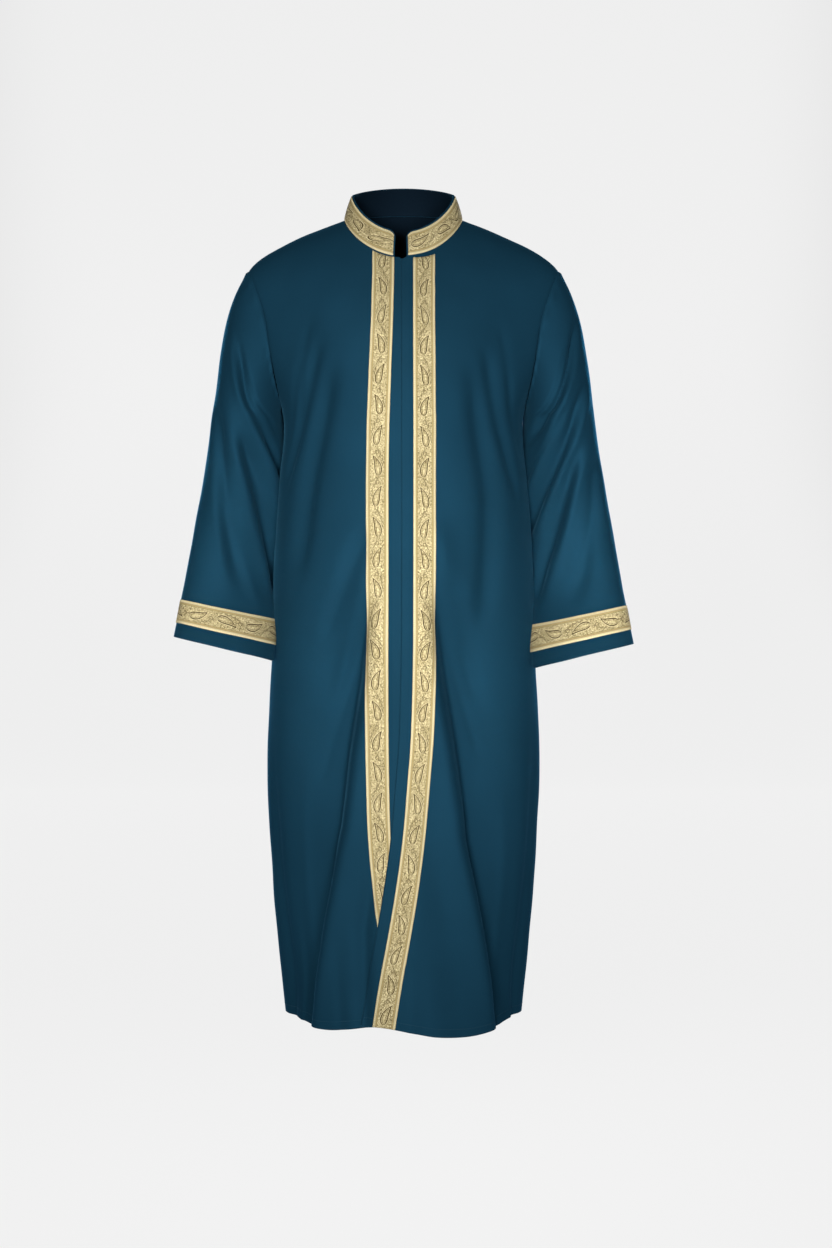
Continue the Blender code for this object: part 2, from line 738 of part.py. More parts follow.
def collar_columns():
    """Return the fronts' lapping and the angle of each column of the collar, left to right."""
    left = [(1, angle) for angle in front_angles(1, NECK)[INSETS[1].collar_from:]]
    middle = [(0, angle) for angle in back_angles(NECK)[1:-1]]
    right = [(-1, angle) for angle in front_angles(-1, NECK)[INSETS[-1].collar_from:]][::-1]
    return left + middle + right


def collar_spots(garment):
    """Return the grid of spots of the collar, its front corners rounded off."""
    columns = collar_columns()
    feet = [garment.surfaces[lapping](angle, NECK) for lapping, angle in columns]
    spots = []
    for rise in COLLAR_ROWS:
        row = []
        for index, (lapping, angle) in enumerate(columns):
            inset = min((feet[index] - feet[0]).length, (feet[index] - feet[-1]).length)
            short = max(COLLAR_CORNER_RADIUS - inset, 0.0)
            drop = COLLAR_CORNER_RADIUS - math.sqrt(COLLAR_CORNER_RADIUS**2 - short**2)
            reached = rise * (1.0 - drop / COLLAR_HEIGHT)
            point = garment.collar_surface(lapping)(angle, reached)
            wall = garment.collar_normal(lapping, angle, reached)
            if rise == 0.0:
                wall, to_body = garment.neck_seam(lapping, angle)
                point = point - to_body * SEAM_GAP / 2
            row.append((point, wall))
        spots.append(row)
    return spots


def make_collar(garment, cloth, ribbon):
    """Make the collar and the ribbon on it."""
    spots = collar_spots(garment)
    points, walls = grid_of(spots)
    shell("collar", points, moved(points, walls, -CLOTH_WALL), False, cloth)
    make_ribbon("collar_band", spots[COLLAR_BAND_ROWS], False, ribbon)


def clear_scene():
    """Empty the scene and add the cloak's collection."""
    for item in list(bpy.data.objects):
        bpy.data.objects.remove(item, do_unlink=True)
    bpy.context.scene.collection.children.link(bpy.data.collections.new(COLLECTION))


def make_cloak():
    """Make every piece of the cloak."""
    clear_scene()
    cloth = cloth_material("blue_cloth", BLUE_CLOTH, CLOTH_ROUGHNESS)
    ribbon = cloth_material("gold_ribbon", GOLD_RIBBON, RIBBON_ROUGHNESS)
    garment = Garment()
    make_back(garment, cloth)
    make_collar(garment, cloth, ribbon)
    for side, name in ((-1, "right"), (1, "left")):
        front = make_front(garment, side, "front_" + name, cloth)
        band = slice(INSETS[side].band_from, len(INSETS[side].columns))
        under_band = [row[band] for row in front if row is not front[-1]]
        make_ribbon("front_band_" + name, under_band, False, ribbon)
        sleeve = make_sleeve(garment, side, "sleeve_" + name, cloth)
        make_ribbon("cuff_band_" + name, sleeve[CUFF_BAND_ROWS], True, ribbon)


make_cloak()
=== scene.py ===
"""Bisht cloak: deep teal-blue suiting trimmed with gold jacquard ribbon, in its worn form.

Metres. +Z is up, the front faces -Y and +X is the wearer's left. On the body, an angle in
degrees goes round from the centre front at 0 by the wearer's left, and along is the way up the
side from the hem at 0. On a sleeve, a turn goes round it from its outer side by the front, and
down is the way from the foot of its cap at 0 to the cuff. side is 1 for the wearer's left.
"""

import math
from collections import namedtuple

import bpy
import numpy as np
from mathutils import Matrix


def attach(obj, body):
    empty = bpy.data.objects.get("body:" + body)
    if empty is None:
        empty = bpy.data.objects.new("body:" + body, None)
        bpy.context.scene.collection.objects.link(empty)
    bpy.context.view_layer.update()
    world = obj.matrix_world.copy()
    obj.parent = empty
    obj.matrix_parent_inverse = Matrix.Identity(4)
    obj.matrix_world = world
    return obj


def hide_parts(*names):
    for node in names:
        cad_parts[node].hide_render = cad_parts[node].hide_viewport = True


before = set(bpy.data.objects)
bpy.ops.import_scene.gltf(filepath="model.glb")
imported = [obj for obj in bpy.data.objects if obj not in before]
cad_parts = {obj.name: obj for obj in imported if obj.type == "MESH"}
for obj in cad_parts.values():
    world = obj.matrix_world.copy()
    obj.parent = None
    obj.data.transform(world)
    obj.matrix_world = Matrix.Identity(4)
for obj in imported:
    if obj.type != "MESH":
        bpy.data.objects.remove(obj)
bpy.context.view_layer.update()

# ---------------------------------------------------------------------------------------------
# Camera, floor and light. The robe hangs on its unseen wearer over a pale sweep of card, lit by
# two broad soft lights ahead of it, two behind it, and a narrow one on each cuff.
# ---------------------------------------------------------------------------------------------
CAMERA_LENS = 87.6
CAMERA_PLACE = (0.019, -4.6, -0.40)
CAMERA_TILT = 87.4
SWEEP_FLOOR = -1.51
SWEEP_NEAR = -9.0
SWEEP_FAR = 6.4
SWEEP_RADIUS = 1.6
SWEEP_TOP = 7.0
SWEEP_HALF_WIDTH = 9.0
SWEEP_STEPS = 24
# Painted light on the card: how brightly it glows behind the robe and away, and where that changes
CARD_PAINTED_LIGHT = 0.835
CARD_PAINTED_SHADE = 0.22
CARD_PAINTED_LIGHT_Y = 4.2
CARD_NARROWED = 1.9
CARD_PAINTED_LIGHT_TO = 4.8
CARD_PAINTED_SHADE_FROM = 7.6
CARD_GREY = (0.06, 0.06, 0.06, 1.0)
FRONT_LAMP = (1.1, 0.9)
CUFF_LAMP = (0.3, 0.3)
BACK_LAMP = (0.8, 1.0)
WARM_WHITE = (1.0, 0.985, 0.96)
SOFT_WHITE = (1.0, 0.99, 0.97)
COOL_WHITE = (0.97, 0.985, 1.0)
PLAIN_WHITE = (1.0, 1.0, 1.0)
ROOM_TINT = (0.93, 0.96, 1.0, 1.0)
ROOM_GLOW = 0.06


def material_with(name, roughness, **constants):
    """Make a material, and return it with its tree and its shader."""
    material = bpy.data.materials.new(name)
    material.use_nodes = True
    shader = material.node_tree.nodes["Principled BSDF"]
    shader.inputs["Roughness"].default_value = roughness
    for socket, value in constants.items():
        shader.inputs[socket.replace("_", " ")].default_value = value
    return material, material.node_tree, shader


def add_node(tree, kind, inputs, **settings):
    """Add a node, with its settings and with values or links on its inputs."""
    node = tree.nodes.new(kind)
    for name, value in settings.items():
        setattr(node, name, value)
    for socket, value in inputs.items():
        if isinstance(value, bpy.types.NodeSocket):
            tree.links.new(value, node.inputs[socket])
        else:
            node.inputs[socket].default_value = value
    return node


def linear(*seen):
    """Turn a colour as seen on a screen, 0 to 255, into a linear one."""
    return tuple(((value / 255 + 0.055) / 1.055) ** 2.4 for value in seen) + (1.0,)


def area_light(name, place, aim, size, power, tint, spread):
    """Hang a soft light of a size that faces a point, its beam narrowed to a spread."""
    lamp = bpy.data.lights.new(name, "AREA")
    lamp.spread = math.radians(spread)
    lamp.shape = "RECTANGLE"
    lamp.size, lamp.size_y = size
    lamp.energy = power
    lamp.color = tint
    light = bpy.data.objects.new(name, lamp)
    light.location = place
    way = light.location - type(light.location)(aim)
    light.rotation_euler = way.to_track_quat("Z", "Y").to_euler()
    bpy.context.collection.objects.link(light)


camera_lens = bpy.data.cameras.new("camera")
camera_lens.lens = CAMERA_LENS
camera_lens.clip_end = 60.0
camera = bpy.data.objects.new("camera", camera_lens)
camera.location = CAMERA_PLACE
camera.rotation_euler = (math.radians(CAMERA_TILT), 0.0, 0.0)
bpy.context.collection.objects.link(camera)
bpy.context.scene.camera = camera
bpy.context.scene.view_settings.view_transform = "Standard"

sweep_line = [(SWEEP_NEAR, SWEEP_FLOOR), (SWEEP_FAR, SWEEP_FLOOR)]
for step in range(1, SWEEP_STEPS + 1):
    bend = math.radians(90.0 * step / SWEEP_STEPS)
    sweep_line.append((
        SWEEP_FAR + SWEEP_RADIUS * math.sin(bend),
        SWEEP_FLOOR + SWEEP_RADIUS * (1.0 - math.cos(bend)),
    ))
sweep_line.append((SWEEP_FAR + SWEEP_RADIUS, SWEEP_TOP))
sweep_mesh = bpy.data.meshes.new("floor")
sweep_mesh.from_pydata(
    [(side * SWEEP_HALF_WIDTH, y, z) for y, z in sweep_line for side in (-1, 1)],
    [],
    [(2 * row, 2 * row + 1, 2 * row + 3, 2 * row + 2) for row in range(len(sweep_line) - 1)],
)
sweep_mesh.shade_smooth()
card, card_tree, card_shader = material_with("card", 0.9, Specular_IOR_Level=0.1)
card_shader.inputs["Base Color"].default_value = CARD_GREY
card_shader.inputs["Emission Color"].default_value = (1.0, 1.0, 1.0, 1.0)
# The card glows by itself: painted light, brightest behind the robe, fading to painted shade
# towards the front and the sides.
card_place = add_node(card_tree, "ShaderNodeTexCoord", {}).outputs["Object"]
card_spot = add_node(card_tree, "ShaderNodeMapping", {
    "Vector": card_place,
    "Location": (0.0, -CARD_PAINTED_LIGHT_Y, -SWEEP_FLOOR),
    "Scale": (CARD_NARROWED, 1.0, 0.0),
}).outputs[0]
card_reach = add_node(card_tree, "ShaderNodeVectorMath", {0: card_spot}, operation="LENGTH")
inputs = {
    0: card_reach.outputs["Value"], 1: CARD_PAINTED_LIGHT_TO, 2: CARD_PAINTED_SHADE_FROM, 3: CARD_PAINTED_LIGHT, 4: CARD_PAINTED_SHADE,
}
card_glow = add_node(card_tree, "ShaderNodeMapRange", inputs, interpolation_type="SMOOTHSTEP")
card_tree.links.new(card_glow.outputs[0], card_shader.inputs["Emission Strength"])
sweep_mesh.materials.append(card)
floor = bpy.data.objects.new("floor", sweep_mesh)
bpy.context.collection.objects.link(floor)

# Each light's place, the point it faces, its size, its power, its tint and its spread
area_light("key", (-0.8, -4.9, -0.34), (0.0, 0.0, -0.44), FRONT_LAMP, 17.5, WARM_WHITE, 32.0)
area_light("fill", (1.1, -4.8, -0.34), (0.0, 0.0, -0.44), FRONT_LAMP, 8.5, COOL_WHITE, 32.0)
area_light("right_cuff", (-1.2, -4.3, -0.9), (-0.3, 0.0, -0.6), CUFF_LAMP, 0.42, SOFT_WHITE, 8.0)
area_light("left_cuff", (1.2, -4.3, -0.9), (0.3, 0.0, -0.6), CUFF_LAMP, 0.62, SOFT_WHITE, 8.0)
area_light("back_right", (-2.1, 4.5, 0.2), (0.0, 0.0, -0.50), BACK_LAMP, 6.0, PLAIN_WHITE, 36.0)
area_light("back_left", (2.1, 4.5, 0.2), (0.0, 0.0, -0.50), BACK_LAMP, 9.0, PLAIN_WHITE, 36.0)
world = bpy.data.worlds.new("studio")
world.use_nodes = True
room = world.node_tree.nodes["Background"]
room.inputs["Color"].default_value = ROOM_TINT
room.inputs["Strength"].default_value = ROOM_GLOW
bpy.context.scene.world = world

# ---------------------------------------------------------------------------------------------
# Back: one piece of smooth suiting, cut on the straight grain from shoulder to hem and shaped at
# the armholes. It hangs in long soft folds from the shoulder blades, and its hem is turned up.
# ---------------------------------------------------------------------------------------------
CLOTH_WALL = 0.0010
TURNED_EDGE = 0.0008
EDGE_ROUNDING = 0.4
HEM_TURN_UP = 0.013
HEM_PRESSED = 0.001
PIT = 0.920
SHOULDER_TIP = 1.140
NECK = 1.310
# Rings round the body: heights at the side, front and back, half the width and how much wider it
# bulges there, its depths, how square it is and how late its height changes off the middle
Level = namedtuple(
    "Level",
    "along side_z front_z back_z half_width reach front_depth back_depth squareness fall",
)
BODY_LEVELS = (
    Level(0.000, -1.197, -1.202, -1.196, 0.180, 0.000, 0.158, 0.150, 2.10, 2.0),
    Level(0.140, -1.057, -1.061, -1.057, 0.194, 0.000, 0.157, 0.150, 2.12, 2.0),
    Level(0.380, -0.817, -0.820, -0.817, 0.207, 0.000, 0.155, 0.149, 2.15, 2.0),
    Level(0.550, -0.647, -0.650, -0.647, 0.193, 0.006, 0.151, 0.142, 2.20, 2.0),
    Level(0.680, -0.517, -0.522, -0.517, 0.189, 0.007, 0.149, 0.130, 2.22, 2.0),
    Level(0.810, -0.387, -0.400, -0.392, 0.184, 0.003, 0.141, 0.123, 2.22, 2.0),
    Level(0.870, -0.327, -0.350, -0.336, 0.180, 0.000, 0.137, 0.123, 2.22, 2.0),
    Level(PIT, -0.277, -0.308, -0.292, 0.177, 0.005, 0.135, 0.124, 2.20, 2.0),
    Level(0.975, -0.222, -0.271, -0.248, 0.181, 0.034, 0.133, 0.125, 2.15, 2.0),
    Level(1.030, -0.168, -0.235, -0.205, 0.183, 0.057, 0.131, 0.125, 2.10, 2.0),
    Level(SHOULDER_TIP, -0.075, -0.165, -0.120, 0.178, 0.059, 0.121, 0.119, 2.00, 2.0),
    Level(1.225, -0.026, -0.110, -0.050, 0.141, 0.014, 0.101, 0.102, 1.95, 1.8),
    Level(NECK, 0.000, -0.061, 0.013, 0.0886, 0.000, 0.075, 0.072, 2.00, 1.4),
)
REACH_FROM = 44.0
EASE = 0.032
SIDE = 90.0
FRONT_BITE = 21.0
BACK_BITE = 26.0
BODY_RADIUS = 0.190
FOLD_FADE = 0.22
ANGLE_STEP = 0.8
ALONG_STEP = 0.004
RIPPLE_SEED = 11
RIPPLE_WAVES = 14
RIPPLE_SIZE = 0.085
RIPPLE_PACES = (0.6, 1.7)
RIPPLE_DEPTH = 0.00045

# Angle and height of each fold's top, middle and foot, how wide it is on the side near the
# centre front and on the far side, and its depth
Fold = namedtuple("Fold", "top top_z middle middle_z foot foot_z near far depth")
BACK_FOLDS = (
    Fold(171, -0.46, 176, -0.80, 179, -1.60, 0.028, 0.028, -0.0110),
    Fold(152, -0.22, 149, -0.66, 139, -1.60, 0.030, 0.018, -0.0115),
    Fold(162, -0.60, 159, -0.95, 153, -1.60, 0.017, 0.017, 0.0070),
    Fold(-150, -0.28, -151, -0.68, -145, -1.60, 0.029, 0.018, -0.0110),
    Fold(-164, -0.52, -161, -0.90, -157, -1.60, 0.017, 0.017, 0.0070),
    Fold(118, -0.20, 129, -0.40, 139, -0.60, 0.019, 0.019, -0.0065),
    Fold(-116, -0.18, -128, -0.37, -141, -0.56, 0.018, 0.018, -0.0060),
    Fold(117, -0.60, 115, -0.90, 113, -1.60, 0.022, 0.022, -0.0095),
    Fold(-113, -0.64, -116, -0.90, -120, -1.60, 0.023, 0.023, -0.0095),
)
BACK_CREASES = (
    Fold(126, -0.13, 134, -0.24, 146, -0.40, 0.008, 0.011, -0.0016),
    Fold(-124, -0.14, -133, -0.27, -147, -0.45, 0.008, 0.012, -0.0014),
    Fold(112, -0.24, 121, -0.30, 132, -0.42, 0.007, 0.009, -0.0015),
    Fold(-111, -0.22, -119, -0.32, -128, -0.47, 0.008, 0.008, 0.0014),
    Fold(165, -0.30, 168, -0.52, 166, -0.78, 0.011, 0.011, 0.0014),
    Fold(-170, -0.34, -173, -0.60, -171, -0.92, 0.012, 0.012, -0.0016),
    Fold(128, -0.66, 126, -0.98, 124, -1.70, 0.011, 0.011, 0.0020),
    Fold(-131, -0.70, -133, -1.00, -134, -1.70, 0.012, 0.012, 0.0018),
    Fold(101, -0.72, 102, -1.00, 103, -1.70, 0.012, 0.012, 0.0016),
    Fold(-100, -0.60, -103, -0.92, -105, -1.70, 0.013, 0.013, -0.0018),
)


def smooth_step(low, high, value):
    """Rise smoothly from 0 at low to 1 at high."""
    share = np.clip((value - low) / (high - low), 0.0, 1.0)
    return share * share * (3.0 - 2.0 * share)


def smooth_curve(start, end, slope_in, slope_out, share):
    """Return places on the smooth curve from start to end that has these slopes at its ends."""
    return (
        start * (1 + 2 * share) * (1 - share) ** 2
        + end * (3 - 2 * share) * share**2
        + slope_in * share * (1 - share) ** 2
        - slope_out * share**2 * (1 - share)
    )


def read_table(table, place):
    """Read a table at places between its rows, on smooth curves through them."""
    rows = np.array(sorted(table))
    at = rows[:, 0]
    place = np.clip(place, at[0], at[-1])
    lower = np.clip(np.searchsorted(at, place, side="right") - 1, 0, len(at) - 2)
    before = np.maximum(lower - 1, 0)
    after = np.minimum(lower + 2, len(at) - 1)
    span = np.asarray(at[lower + 1] - at[lower])[..., None]
    share = np.asarray(place - at[lower])[..., None] / span
    start, end = rows[lower], rows[lower + 1]
    slope_in = (end - rows[before]) / np.asarray(at[lower + 1] - at[before])[..., None]
    slope_out = (rows[after] - start) / np.asarray(at[after] - at[lower])[..., None]
    values = smooth_curve(start, end, slope_in * span, slope_out * span, share)
    return type(table[0])(*np.moveaxis(values, -1, 0))


def angle_between(angle, other):
    """Return the shorter way round from one angle to another."""
    return (angle - other + 180.0) % 360.0 - 180.0


def rounded(squareness, turn):
    """Return the cosine and the sine of a turn, pushed out to a rounded box."""
    cosine, sine = np.cos(np.radians(turn)), np.sin(np.radians(turn))
    reach = (abs(cosine) ** squareness + abs(sine) ** squareness) ** (-1.0 / squareness)
    return cosine * reach, sine * reach


def ring_point(ring, angle):
    """Return the points of levels of the body, or of the collar's top, at angles."""
    ahead, across = rounded(ring.squareness, angle)
    depth = np.where(ahead >= 0.0, ring.front_depth, ring.back_depth)
    height = np.where(ahead >= 0.0, ring.front_z, ring.back_z)
    fall = abs(np.cos(np.radians(angle))) ** ring.fall
    off_side = abs(abs(angle_between(angle, 0.0)) - SIDE)
    half_width = ring.half_width + ring.reach * smooth_step(SIDE - REACH_FROM, 0.0, off_side)
    place = (half_width * across, -depth * ahead, ring.side_z + (height - ring.side_z) * fall)
    return np.stack(np.broadcast_arrays(*place), axis=-1)


def unit(ways):
    """Return directions of length 1."""
    return ways / np.linalg.norm(ways, axis=-1, keepdims=True)


def outward_of(surface, first, second, first_step, second_step):
    """Return the outward directions of a surface of two coordinates."""
    along_first = surface(first + first_step, second) - surface(first - first_step, second)
    along_second = surface(first, second + second_step) - surface(first, second - second_step)
    return unit(np.cross(along_first, along_second))


def body_outward(surface, angle, along):
    """Return the outward directions of a surface on the body, also at its ends."""
    inside = np.clip(along, 2 * ALONG_STEP, NECK - 2 * ALONG_STEP)
    return outward_of(surface, angle, inside, ANGLE_STEP, ALONG_STEP)


def push_of_folds(folds, angle, height):
    """Return how far folds push the body's cloth out."""
    push = np.zeros(np.broadcast(angle, height).shape)
    for fold in folds:
        heights = (fold.foot_z, fold.middle_z, fold.top_z)
        centre = np.interp(height, heights, (fold.foot, fold.middle, fold.top))
        share = (fold.top_z - height) / (fold.top_z - fold.foot_z)
        fade = smooth_step(0.0, FOLD_FADE, share) * smooth_step(0.0, FOLD_FADE, 1.0 - share)
        beyond = angle_between(angle, centre) * np.sign(centre)
        width = np.where(beyond > 0, fold.far, fold.near)
        across = np.radians(beyond) * BODY_RADIUS / width
        push = push + fold.depth * fade * np.exp(-across * across)
    return push


def body_form(angle, along):
    """Return the body's smooth form, before its folds."""
    ease = np.clip(np.minimum(np.minimum(EASE, along), NECK - along), 0.0, None)
    middle = ring_point(read_table(BODY_LEVELS, along), angle)
    above = ring_point(read_table(BODY_LEVELS, along + ease), angle)
    below = ring_point(read_table(BODY_LEVELS, along - ease), angle)
    return (above + below + 2.0 * middle) / 4.0


def loosened(points, outward, push):
    """Move points out by a push, and by the slight unevenness that hanging cloth has."""
    draw = np.random.default_rng(RIPPLE_SEED)
    ripple = 0.0
    for _ in range(RIPPLE_WAVES):
        way = draw.normal(size=3)
        pace = math.tau / (RIPPLE_SIZE * draw.uniform(*RIPPLE_PACES)) * way / np.linalg.norm(way)
        ripple = ripple + np.sin(points @ pace + draw.uniform(0.0, math.tau))
    push = push + ripple * RIPPLE_DEPTH / math.sqrt(RIPPLE_WAVES)
    return points + outward * push[..., None]


def back_surface(angle, along):
    """Return the folded surface of the back."""
    place = body_form(angle, along)
    push = push_of_folds(BACK_FOLDS + BACK_CREASES, angle, place[..., 2])
    return place + body_outward(body_form, angle, along) * push[..., None]


def armhole_place(side, turn):
    """Return the angle and the place along the seams of an armhole's edge.

    The turn goes from the shoulder tip, by the front, to the pit, and by the back up again.
    """
    cosine, sine = np.cos(np.radians(turn)), np.sin(np.radians(turn))
    bite = np.where(sine > 0, FRONT_BITE, BACK_BITE)
    return side * (SIDE - bite * sine), PIT + (SHOULDER_TIP - PIT) * (1.0 + cosine) / 2.0


def armhole_bite(along, bite):
    """Return how many degrees an armhole takes off a panel at places along the seams."""
    share = np.clip(2.0 * (along - PIT) / (SHOULDER_TIP - PIT) - 1.0, -1.0, 1.0)
    return bite * np.sqrt(1.0 - share * share)


# Rows of the grid from the hem to the neck, and columns beside a seam, in degrees from it
HEM_ROWS = (0.0, 0.0015)
SKIRT_FROM = 0.006
SKIRT_ROWS = 116
ROW_GAP = 0.004
ARMHOLE_ROWS = 60
SHOULDER_ROWS = 20
NECK_ROW = 0.0015
BACK_COLUMNS = 150
SEAM_COLUMNS = (0.0, 0.35, 0.8, 1.4, 2.3)
COLUMN_GAP = 1.2

armhole_alongs = armhole_place(1, 180.0 * np.arange(ARMHOLE_ROWS, -1, -1) / ARMHOLE_ROWS)[1]
body_alongs = np.concatenate([
    HEM_ROWS,
    np.linspace(SKIRT_FROM, PIT - ROW_GAP, SKIRT_ROWS),
    armhole_alongs,
    np.linspace(SHOULDER_TIP, NECK - NECK_ROW, SHOULDER_ROWS)[1:],
    [NECK],
])


def length_along(points, axis):
    """Return the distances along rows or columns of points from their first one."""
    steps = np.linalg.norm(np.diff(points, axis=axis), axis=-1)
    start = np.zeros_like(np.take(steps, [0], axis=axis))
    return np.concatenate([start, np.cumsum(steps, axis=axis)], axis=axis)


def walled_sheet(name, outer, walls, thickness, weave, materials, closed=False):
    """Make a sheet of cloth with rounded edges from a grid of outer points.

    walls holds each point's outward direction, and weave its place on the flat cloth. The last
    of the materials is for its reverse. A closed sheet joins its last column to its first, and
    its weave has one column more.
    """
    across, along = np.diff(outer, axis=1)[:-1], np.diff(outer, axis=0)[:, :-1]
    facing = 1 if np.sum(np.cross(across, along) * walls[:-1, :-1]) > 0 else -1
    rows, columns = outer.shape[:2]
    inner = outer - walls * np.broadcast_to(thickness, (rows, columns))[..., None]
    index = np.arange(rows * columns).reshape(rows, columns)
    if closed:
        index = np.concatenate([index, index[:, :1]], axis=1)
    spot = np.arange(index.size).reshape(index.shape)

    def tiles(grid):
        corners = [grid[:-1, :-1], grid[:-1, 1:], grid[1:, 1:], grid[1:, :-1]]
        return np.stack(corners, -1).reshape(-1, 4)

    def round_it(grid):
        return np.concatenate([grid[0], grid[1:, -1], grid[-1, -2::-1], grid[-2::-1, 0]])

    faces = [tiles(index), tiles(index)[:, ::-1] + rows * columns]
    spots = [tiles(spot), tiles(spot)[:, ::-1]]
    rims = [(round_it(index), round_it(spot))]
    if closed:
        rims = [(index[0], spot[0]), (index[-1][::-1], spot[-1][::-1])]
    points = [outer.reshape(-1, 3), inner.reshape(-1, 3)]
    total = 2 * rows * columns
    for rim, rim_spot in rims:
        loop = rim[:-1]
        start, end = points[0][loop], points[1][loop]
        tangent = np.roll(start, -1, axis=0) - np.roll(start, 1, axis=0)
        away = facing * unit(np.cross(tangent, walls.reshape(-1, 3)[loop]))
        gap = np.linalg.norm(start - end, axis=1, keepdims=True)
        points.append((start + end) / 2 + away * gap * EDGE_ROUNDING)
        ring = total + np.append(np.arange(len(loop)), 0)
        total += len(loop)
        under = rim + rows * columns
        faces.append(np.stack([rim[1:], rim[:-1], ring[:-1], ring[1:]], -1))
        faces.append(np.stack([ring[1:], ring[:-1], under[:-1], under[1:]], -1))
        patch = np.stack([rim_spot[1:], rim_spot[:-1], rim_spot[:-1], rim_spot[1:]], -1)
        spots += [patch, patch]
    faces = np.concatenate(faces)[:, ::facing]
    spots = np.concatenate(spots)[:, ::facing]
    mesh = bpy.data.meshes.new(name)
    mesh.from_pydata(np.concatenate(points).tolist(), [], faces.tolist())
    layer = mesh.uv_layers.new(name="weave")
    layer.uv.foreach_set("vector", weave.reshape(-1, 2)[spots.ravel()].ravel())
    mesh.shade_smooth()
    for material in materials:
        mesh.materials.append(material)
    inside = np.zeros(len(faces), dtype=np.int32)
    inside[len(tiles(index)) : 2 * len(tiles(index))] = len(materials) - 1
    mesh.polygons.foreach_set("material_index", inside)
    piece = bpy.data.objects.new(name, mesh)
    bpy.context.collection.objects.link(piece)
    return piece


class Value:
    """A number in a node tree, on which arithmetic adds the nodes that do the same."""

    def __init__(self, tree, socket):
        self.tree = tree
        self.socket = socket

    def math(self, operation, *others):
        """Work out a math node's result from this value and others."""
        values = [getattr(value, "socket", value) for value in (self, *others)]
        node = add_node(self.tree, "ShaderNodeMath", dict(enumerate(values)), operation=operation)
        return Value(self.tree, node.outputs[0])

    def __add__(self, other):
        return self.math("ADD", other)

    def __sub__(self, other):
        return self.math("SUBTRACT", other)

    def __mul__(self, other):
        return self.math("MULTIPLY", other)

    def below(self, low, high):
        """Return 1 where the value is under low, 0 over high, and smooth between them."""
        inputs = {0: self.socket, 1: low, 2: high, 3: 1.0, 4: 0.0}
        node = add_node(self.tree, "ShaderNodeMapRange", inputs, interpolation_type="SMOOTHSTEP")
        return Value(self.tree, node.outputs[0])


def texture(tree, kind, **inputs):
    """Add a texture and return its first number."""
    node = add_node(tree, "ShaderNodeTex" + kind, inputs)
    output = next(out for out in node.outputs if out.type == "VALUE" and out.enabled)
    return Value(tree, output)


def blend_colours(tree, share, first, second):
    """Mix two colours by a share and return the result."""
    inputs = {0: getattr(share, "socket", share), 6: first, 7: second}
    return add_node(tree, "ShaderNodeMix", inputs, data_type="RGBA").outputs[2]


SHEEN_BLUE = (0.10, 0.38, 0.62, 1.0)
GLANCING_BLUE = (0.12, 0.40, 0.66, 1.0)
TWILL_SLOPE = 52.0
TWILL_RIBS = 470.0
SLUB_SCALE = 900.0
DYE_SCALE = 5.0
TWILL_DEPTH = 0.00012


def suiting_cloth(name, light, dark):
    """Make the suiting's material: a fine satiny twill, a little uneven in its dye."""
    material, tree, shader = material_with(
        name, 0.60, Metallic=0.26, Specular_IOR_Level=0.0, Sheen_Weight=0.10, Sheen_Roughness=0.35
    )
    shader.inputs["Specular Tint"].default_value = GLANCING_BLUE
    shader.inputs["Sheen Tint"].default_value = SHEEN_BLUE
    weave_place = add_node(tree, "ShaderNodeUVMap", {}, uv_map="weave").outputs["UV"]
    object_place = add_node(tree, "ShaderNodeTexCoord", {}).outputs["Object"]
    slope = {"Vector": weave_place, "Rotation": (0.0, 0.0, math.radians(TWILL_SLOPE))}
    sloping = add_node(tree, "ShaderNodeMapping", slope).outputs[0]
    ribs = texture(tree, "Wave", Vector=sloping, Scale=TWILL_RIBS, Distortion=0.6, Detail=1.0)
    slub = texture(tree, "Noise", Vector=weave_place, Scale=SLUB_SCALE, Detail=2.0)
    dye = texture(tree, "Noise", Vector=object_place, Scale=DYE_SCALE, Detail=4.0)
    shade = ribs * 0.25 + (slub - 0.5) * 0.55 + dye * 0.70
    tree.links.new(blend_colours(tree, shade, dark, light), shader.inputs["Base Color"])
    inputs = {"Height": (ribs + slub * 0.7).socket, "Strength": 0.35, "Distance": TWILL_DEPTH}
    bump = add_node(tree, "ShaderNodeBump", inputs).outputs[0]
    tree.links.new(bump, shader.inputs["Normal"])
    return material


# The second is for the cloth's reverse, coloured darker as painted shade, for the shade that falls
# inside the robe at the collar and the cuffs.
suiting = (
    suiting_cloth("teal_suiting", linear(16, 45, 61), linear(10, 33, 45)),
    suiting_cloth("suiting_reverse_painted_shade", linear(9, 20, 29), linear(5, 12, 19)),
)


def turned_up(along):
    """Return the cloth's thickness, more where the hem is turned up."""
    plain = smooth_step(HEM_TURN_UP - HEM_PRESSED, HEM_TURN_UP, along)
    return CLOTH_WALL + TURNED_EDGE * (1.0 - plain)


SEAM_DIP = 0.0004
SEAM_DIP_WIDTH = 0.0028


def dipped(distance):
    """Return how far cloth sinks towards a seam, at a distance from it."""
    return -SEAM_DIP * np.exp(-((distance / SEAM_DIP_WIDTH) ** 2))


near = (SIDE + armhole_bite(body_alongs, BACK_BITE))[:, None]
seam_steps = np.array(SEAM_COLUMNS)
inside = np.linspace(0.0, 1.0, BACK_COLUMNS + 1)[None, :]
first = near + seam_steps[-1] + COLUMN_GAP
last = 360.0 - near - seam_steps[-1] - COLUMN_GAP
back_angles = np.concatenate([
    near + seam_steps, first + (last - first) * inside, 360.0 - near - seam_steps[::-1]
], axis=1)
back_place = np.broadcast_arrays(back_angles, body_alongs[:, None])
back_points = back_surface(*back_place)
back_walls = body_outward(back_surface, *back_place)
across = length_along(back_points, 1)
from_seam = np.minimum(across, across[:, -1:] - across)
back_points = loosened(back_points, back_walls, dipped(from_seam))
back_weave = np.stack([across, back_place[1]], -1)
back_panel = walled_sheet(
    "back_panel", back_points, back_walls, turned_up(back_place[1]), back_weave, suiting
)
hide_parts("back")
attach(back_panel, "root")

